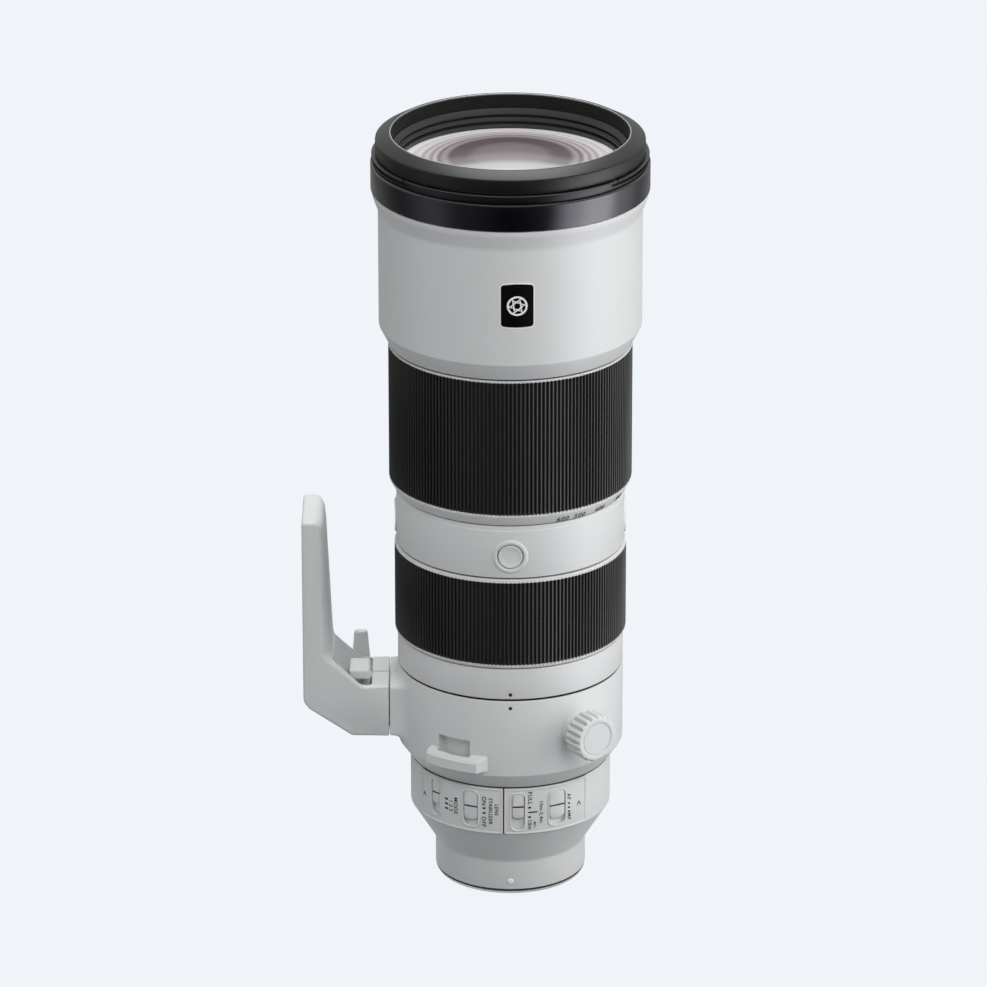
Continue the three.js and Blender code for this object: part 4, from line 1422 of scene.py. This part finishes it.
class LENS_OT_foot(bpy.types.Operator):
    """Model the tripod foot, its thread insert and its lever"""

    bl_idname = "lens.foot"
    bl_label = "Tripod foot"

    def execute(self, context):
        span = Span("tripod_foot")
        self.face = span.left
        foot = self.blank(span)
        groove = [(-48.5, -7.0), (-48.5, 7.0), (-53.5, 9.6), (-53.5, -9.6)]
        cut(foot, lofted("groove", [[(x, y, z) for x, y in groove] for z in (60.0, 82.3)]))
        pocket = rounded_loop(10.7, 28.6, 1.6)
        cut(foot, lofted("pocket", [[(x - 61.85, z, height) for x, z, _, _ in pocket]
                                    for height in (72.0, 112.0)]))
        recess = rounded_loop(16.2, 28.0, 1.8)
        cut(foot, lofted("recess", [[(x - 64.6, z, height) for x, z, _, _ in recess]
                                    for height in (81.0, 98.0)]))
        split = lofted("split", [[(x, y, z) for x, y in ((-57, -0.35), (-57, 0.35), (-48, 0.35),
                                                         (-48, -0.35))] for z in (84.2, 90)])
        cut(foot, split)
        insert = Span("foot_thread_insert")
        self.thread_height = (insert.bottom + insert.top) / 2
        hole = turned("hole", [(0, -1), (4.8, -1), (4.8, 8.6), (0, 8.6)], 48, on_axis=True)
        hole.data.transform(self.out_of_face())
        cut(foot, hole)
        window = rounded_loop(8.0, 9.2, 0.8)
        cut(foot, lofted("window", [[(x - 61.2, depth, z + 78.8) for x, z, _, _ in window]
                                    for depth in (13.0, 18.0)]))
        finished(foot, "foot", "white_paint", white_paint(), "tripod_foot", angle=40)
        self.insert()
        self.lever()
        return {"FINISHED"}

    def out_of_face(self):
        """Places a piece modelled along +Z so that it goes into the foot's outer face."""
        return (Matrix.Translation((self.face, 0, self.thread_height))
                @ Matrix.Rotation(math.radians(90), 4, "Y"))

    def blank(self, span):
        """The foot's side outline, swept across its width with rounded sides."""
        step = 86.3
        outline = rounded([
            (-49.5, span.bottom, 0.4), (-49.5, step, 0.6), (-61.0, step, 4.0),
            (-72.7, 98.5, 7.0), (-75.1, 150.0, 9.0), (-76.0, span.top, 3.4),
            (self.face, span.top, 1.6), (self.face, 79.0, 5.0), (-82.0, 76.0, 5.0),
            (-64.7, span.bottom, 3.0)], arcs=6)
        count = len(outline)
        normals = []
        for index in range(count):
            ahead = Vector(outline[(index + 1) % count]) - Vector(outline[index - 1])
            normals.append(Vector((ahead.y, -ahead.x)).normalized())
        area = sum(outline[k - 1][0] * outline[k][1] - outline[k][0] * outline[k - 1][1]
                   for k in range(count))
        sign = 1 if area > 0 else -1
        half, chamfer, shift = FOOT_HALF, 4.6, 3.9
        round_off = 1.5
        ring = [(half - round_off * (1 - math.cos(math.radians(t))),
                 round_off * (1 - math.sin(math.radians(t)))) for t in (0, 22, 45, 68, 90)]
        side = [(y, inset, max(0.0, (y - (half - chamfer)) / chamfer)) for y, inset in ring]
        side += [(half - chamfer, 0.0, 0.0), (half - chamfer - 1.2, 0.0, 0.0)]
        rows = [(-y, inset, part) for y, inset, part in side] + side[::-1]
        loops = []
        for y, inset, part in rows:
            loop = []
            for (x, z), normal in zip(outline, normals):
                seam = min(1.0, max(0.25, (-49.5 - x) / 4.0))
                arm = min(1.0, max(0.0, (z - 93.0) / 9.0)) * min(1.0, max(0.0, (x + 80.5) / 3.0))
                soft = part * part * (3 - 2 * part)
                fade = 1 - 0.75 * min(1.0, max(0.0, (z - 100.0) / 56.0))
                loop.append((x - sign * normal.x * inset * seam - shift * fade * arm * soft, y,
                             z - sign * normal.y * inset * seam))
            loops.append(loop)
        return lofted("foot_body", loops)

    def insert(self):
        thread = [(3.2, 0.3, 0.1), (4.5, 0.3, 0.1), (4.5, 8.2, 0.1), (0.01, 8.2, 0.01),
                  (0.01, 7.4, 0.01), (3.2, 7.4, 0.1)]
        for turn in range(5):
            low = 7.0 - turn * 1.27
            thread += [(3.2, low, 0.02), (2.75, low - 0.63, 0.05)]
        thread += [(3.2, 0.75, 0.02)]
        insert = turned("thread_insert", rounded(thread, 0.1, 2), 48)
        insert.data.transform(self.out_of_face())
        finished(insert, "foot", "turned_brass", turned_brass(), "foot_thread_insert")

    def lever(self):
        x, z = -61.2, 80.0
        hub = turned("lever_hub", rounded([(0.01, -4.3), (3.8, -4.3, 0.6), (3.8, 4.3, 0.6),
                                           (0.01, 4.3)], 0.05), 48)
        hub.data.transform(Matrix.Translation((x, 0, z))
                           @ Matrix.Rotation(math.radians(90), 4, "Y"))
        parts = [((-1.0, 4.0), (-7.0, 1.0), (z, 88.0), 0.6, 1.0),
                 ((-3.0, 3.0), (0.0, 20.4), (77.8, 81.8), 0.5, 1.0),
                 ((-4.7, 4.0), (-12.5, 1.0), (87.6, 92.0), 1.0, 0.97),
                 ((-4.6, 4.0), (17.2, 20.6), (77.8, 96.8), 1.3, 0.62)]
        for (left, right), (near, far), (low, high), width, taper in parts:
            bpy.ops.object.select_all(action="DESELECT")
            bpy.ops.mesh.primitive_cube_add(size=1)
            wing = started("wing")
            for vertex in wing.data.vertices:
                if vertex.co.z > 0:
                    vertex.co.x *= taper
            wing.data.transform(
                Matrix.Translation((x + (left + right) / 2, (near + far) / 2, (low + high) / 2))
                @ Matrix.Diagonal((right - left, far - near, high - low, 1)))
            bevelled(wing, width, 4)
            join_to(hub, wing)
        finished(hub, "foot_lever", "white_paint", white_paint(), "foot_lever")


# ------------------------------------------------------------------ inner works


class LENS_OT_inner_works(bpy.types.Operator):
    """Model the tubes, cells, glass and circuit inside the lens"""

    bl_idname = "lens.inner_works"
    bl_label = "Inner works"

    def execute(self, context):
        self.gap_seals()
        self.glass_elements()
        self.rings()
        self.finish_rest()
        return {"FINISHED"}

    def gap_seals(self):
        """Dark rings in the gaps between the rings: painted shade, so that each gap reads as a
        dark line.
        """
        gaps = [("rear_barrel", "tripod_collar", 40.8), ("tripod_collar", "index_ring", 45.3),
                ("index_ring", "focus_ring", 45.3), ("focus_ring", "middle_barrel", 45.3),
                ("middle_barrel", "zoom_ring", 45.3), ("zoom_ring", "front_barrel", 48.2)]
        shade_rings = []
        for lower, upper, outer in gaps:
            low = 52.0 if lower == "rear_barrel" else Span(lower).top
            high = Span(upper).bottom
            # A dark ring of painted shade inside this gap.
            shade_rings.append(turned("seal", [(outer - 1.0, low + 0.02), (outer, low + 0.02),
                                         (outer, high - 0.02), (outer - 1.0, high - 0.02)]))
        finished(joined("gap_seals", shade_rings), "root", "matte_black", deep_black())

    def glass_elements(self):
        for name, node, rise, hollow, body in (
                ("glass_zoom", "zoom_element", 3.0, 2.5, "zoom_group"),
                ("glass_focus", "focus_element", 0.6, 0.8, "focus_group"),
                ("glass_stabiliser", "stabiliser_element", 1.5, -1.5, "stabiliser_cell"),
                ("glass_rear", "rear_element", 1.5, -2.0, "root")):
            dome(name, node, rise, hollow, body)

    def rings(self):
        plain = [
            ("cell_stabiliser", "stabiliser_cell", 23.4, "stabiliser_cell", "matte_black"),
            ("iris_housing", "iris_unit", 16.0, "root", "matte_black"),
            ("carriage", "stabiliser_carriage", 30.0, "stabiliser_carriage", "tube_aluminium"),
        ]
        for name, node, inner, body, slot in plain:
            span = Span(node)
            piece = turned(name, rounded([
                (inner, span.bottom), (span.radius, span.bottom), (span.radius, span.top),
                (inner, span.top)], 0.4), 96)
            material = tube_aluminium() if slot == "tube_aluminium" else matte_black()
            finished(piece, body, slot, material, node)

    def finish_rest(self):
        """Gives every frame node that still shows its own finish."""
        finishes = {
            "white_paint": white_paint, "grip_rubber": grip_rubber, "gloss_black": gloss_black,
            "matte_black": matte_black, "lens_glass": coated_glass, "bright_steel": bright_steel,
            "tube_aluminium": tube_aluminium, "turned_brass": turned_brass,
            "circuit_green": circuit_green}
        slots = {part["node"]: part["material_slot"] for part in frame["record"]["subparts"]}
        for node, piece in frame["nodes"].items():
            material = finishes[slots[node]]()
            for socket in piece.material_slots:
                socket.material = material


# ------------------------------------------------------------------ stage


class LENS_OT_stage(bpy.types.Operator):
    """Lay the floor and set the camera and the studio lights"""

    bl_idname = "lens.stage"
    bl_label = "Stage"

    elevation = 21.668
    distance = 2719.9 * MM
    aim_height = 159.0
    focal_length = 244.62
    shift_across, shift_up = -0.01712, 0.01279

    def execute(self, context):
        scene = context.scene
        scene.view_settings.view_transform = "Standard"
        self.camera(scene)
        self.floor()
        self.world(scene)
        self.card("key_card", 80, 0.68, (0.62, 1.0), 0.46, 4.1, (1.0, 0.995, 0.985))
        self.card("fill_card", -72, 0.8, (0.4, 1.0), 0.52, 1.3, (1.0, 1.0, 1.0))
        self.card("front_card", 22, 1.2, (0.8, 0.6), 1.25, 10.5, (1.0, 1.0, 1.0))
        self.card("top_card", 172, 0.35, (0.8, 0.7), 1.35, 10.0, (1.0, 1.0, 0.99))
        return {"FINISHED"}

    def camera(self, scene):
        tilt = math.radians(self.elevation)
        target = Vector((AXIS_X, 0, FLANGE + self.aim_height * MM))
        bpy.ops.object.camera_add(
            location=target + self.distance * Vector((0, -math.cos(tilt), math.sin(tilt))),
            rotation=(math.radians(90) - tilt, 0, 0))
        camera = bpy.context.object
        camera.data.sensor_width = 36
        camera.data.lens = self.focal_length
        camera.data.shift_x = self.shift_across
        camera.data.shift_y = self.shift_up
        camera.data.clip_end = 50
        scene.camera = camera

    def floor(self):
        bpy.ops.object.select_all(action="DESELECT")
        bpy.ops.mesh.primitive_plane_add(size=24)
        floor = started("studio_floor")
        material = bpy.data.materials.new("Pale Floor")
        material.use_nodes = True
        tree = material.node_tree
        shader = tree.nodes["Principled BSDF"]
        shader.inputs["Base Color"].default_value = (0.2, 0.205, 0.21, 1)
        shader.inputs["Roughness"].default_value = 0.9
        shader.inputs["Specular IOR Level"].default_value = 0.0
        glow = tree.nodes.new("ShaderNodeEmission")
        glow.inputs["Color"].default_value = (0.908, 0.943, 0.986, 1)
        mirror = tree.nodes.new("ShaderNodeEmission")
        mirror.inputs["Strength"].default_value = 3.4
        tree.links.new(self.mirrored_cards(tree), mirror.inputs["Color"])
        path = tree.nodes.new("ShaderNodeLightPath")
        seen = tree.nodes.new("ShaderNodeMixShader")
        share = math_node(tree, "MULTIPLY", path.outputs["Is Camera Ray"], 0.95)
        tree.links.new(share, seen.inputs[0])
        tree.links.new(shader.outputs[0], seen.inputs[1])
        tree.links.new(glow.outputs[0], seen.inputs[2])
        mirrored = tree.nodes.new("ShaderNodeMixShader")
        tree.links.new(path.outputs["Is Glossy Ray"], mirrored.inputs[0])
        tree.links.new(seen.outputs[0], mirrored.inputs[1])
        tree.links.new(mirror.outputs[0], mirrored.inputs[2])
        output = tree.nodes["Material Output"]
        tree.links.new(mirrored.outputs[0], output.inputs["Surface"])
        floor.data.materials.append(material)

    def mirrored_cards(self, tree):
        """What a polished surface sees of the floor: two cards, and a pale patch close by."""
        axes = tree.nodes.new("ShaderNodeSeparateXYZ")
        tree.links.new(tree.nodes.new("ShaderNodeTexCoord").outputs["Object"], axes.inputs[0])
        across = math_node(tree, "SUBTRACT", axes.outputs["X"], AXIS_X)
        ahead = math_node(tree, "MULTIPLY", axes.outputs["Y"], -1.0)
        azimuth = math_node(tree, "ARCTAN2", across, ahead)
        turn = math_node(tree, "ADD", math_node(tree, "DIVIDE", azimuth, math.tau), 0.5)
        ramp = tree.nodes.new("ShaderNodeValToRGB")
        ramp.color_ramp.interpolation = "EASE"
        stops = [(-180, (0.10, 0.10, 0.10)), (-135, (0.07, 0.07, 0.07)),
                 (-100, (0.03, 0.03, 0.034)), (-64, (0.105, 0.10, 0.125)),
                 (-40, (0.03, 0.03, 0.036)), (0, (0.003, 0.003, 0.004)),
                 (30, (0.02, 0.02, 0.024)), (52, (0.60, 0.61, 0.68)),
                 (68, (0.95, 0.95, 1.0)), (82, (0.9, 0.9, 0.96)), (100, (0.28, 0.28, 0.3)),
                 (130, (0.08, 0.08, 0.085)), (180, (0.10, 0.10, 0.10))]
        set_stops(ramp, [((angle + 180) / 360, colour) for angle, colour in stops])
        tree.links.new(turn, ramp.inputs["Fac"])
        reach = math_node(tree, "SQRT", math_node(
            tree, "ADD", math_node(tree, "POWER", across, 2.0),
            math_node(tree, "POWER", ahead, 2.0)), 0)
        near = tree.nodes.new("ShaderNodeMapRange")
        near.interpolation_type = "SMOOTHSTEP"
        near.inputs["From Min"].default_value = 0.09
        near.inputs["From Max"].default_value = 0.22
        near.inputs["To Min"].default_value = 1.0
        near.inputs["To Max"].default_value = 0.0
        tree.links.new(reach, near.inputs["Value"])
        mix = tree.nodes.new("ShaderNodeMix")
        mix.data_type = "RGBA"
        mix.inputs["B"].default_value = (0.18, 0.18, 0.185, 1)
        tree.links.new(near.outputs["Result"], mix.inputs["Factor"])
        tree.links.new(ramp.outputs["Color"], mix.inputs["A"])
        return mix.outputs["Result"]

    def world(self, scene):
        """A pale room that is dimmer on the camera's side."""
        world = bpy.data.worlds.new("Studio")
        world.use_nodes = True
        tree = world.node_tree
        background = tree.nodes["Background"]
        background.inputs["Color"].default_value = (0.985, 0.995, 1.0, 1)
        coordinates = tree.nodes.new("ShaderNodeTexCoord")
        axes = tree.nodes.new("ShaderNodeSeparateXYZ")
        tree.links.new(coordinates.outputs["Generated"], axes.inputs[0])
        scale = tree.nodes.new("ShaderNodeMapRange")
        scale.inputs["From Min"].default_value = -1
        scale.inputs["To Min"].default_value = 0.36
        scale.inputs["To Max"].default_value = 0.62
        tree.links.new(axes.outputs["Y"], scale.inputs["Value"])
        tree.links.new(scale.outputs["Result"], background.inputs["Strength"])
        scene.world = world

    def card(self, name, azimuth, distance, size, height, power, colour):
        """A soft light. A low card shines almost level, and a high one shines down."""
        turn = math.radians(azimuth)
        location = Vector((AXIS_X + distance * math.sin(turn), -distance * math.cos(turn),
                           height))
        low_card = height < 0.6
        aim = Vector((AXIS_X, 0, height * 0.85 if low_card else 0.2))
        bpy.ops.object.light_add(type="AREA", location=location)
        light = bpy.context.object
        light.name = name
        light.rotation_euler = (location - aim).to_track_quat("Z", "Y").to_euler()
        light.visible_camera = False
        light.visible_glossy = name == "top_card"
        light.data.shape = "RECTANGLE"
        light.data.size, light.data.size_y = size
        light.data.energy = power
        light.data.color = colour


# ------------------------------------------------------------------ panel and registration

MAKERS = (LENS_OT_stage, LENS_OT_mount, LENS_OT_rear_barrel, LENS_OT_switches,
          LENS_OT_fixed_rings, LENS_OT_zoom_ring, LENS_OT_focus_ring, LENS_OT_front,
          LENS_OT_collar, LENS_OT_foot, LENS_OT_inner_works)


class LENS_PT_sidebar(bpy.types.Panel):
    """Lists the lens's sizes, colours and makers"""

    bl_idname = "LENS_PT_sidebar"
    bl_label = "Telephoto lens"
    bl_space_type = "VIEW_3D"
    bl_region_type = "UI"
    bl_category = "Lens"

    def draw(self, context):
        layout = self.layout
        for group in (context.scene.lens_sizes, context.scene.lens_colours):
            box = layout.box()
            for name in group.bl_rna.properties.keys():
                if name not in ("rna_type", "name"):
                    box.prop(group, name)
        for maker in MAKERS:
            layout.operator(maker.bl_idname)


CLASSES = (LensSizes, LensColours, *MAKERS, LENS_PT_sidebar)


def register():
    for item in CLASSES:
        bpy.utils.register_class(item)
    bpy.types.Scene.lens_sizes = PointerProperty(type=LensSizes)
    bpy.types.Scene.lens_colours = PointerProperty(type=LensColours)


def unregister():
    del bpy.types.Scene.lens_colours
    del bpy.types.Scene.lens_sizes
    for item in reversed(CLASSES):
        bpy.utils.unregister_class(item)


def main():
    register()
    for maker in MAKERS:
        group, name = maker.bl_idname.split(".")
        getattr(getattr(bpy.ops, group), name)()


if __name__ == "__main__":
    main()
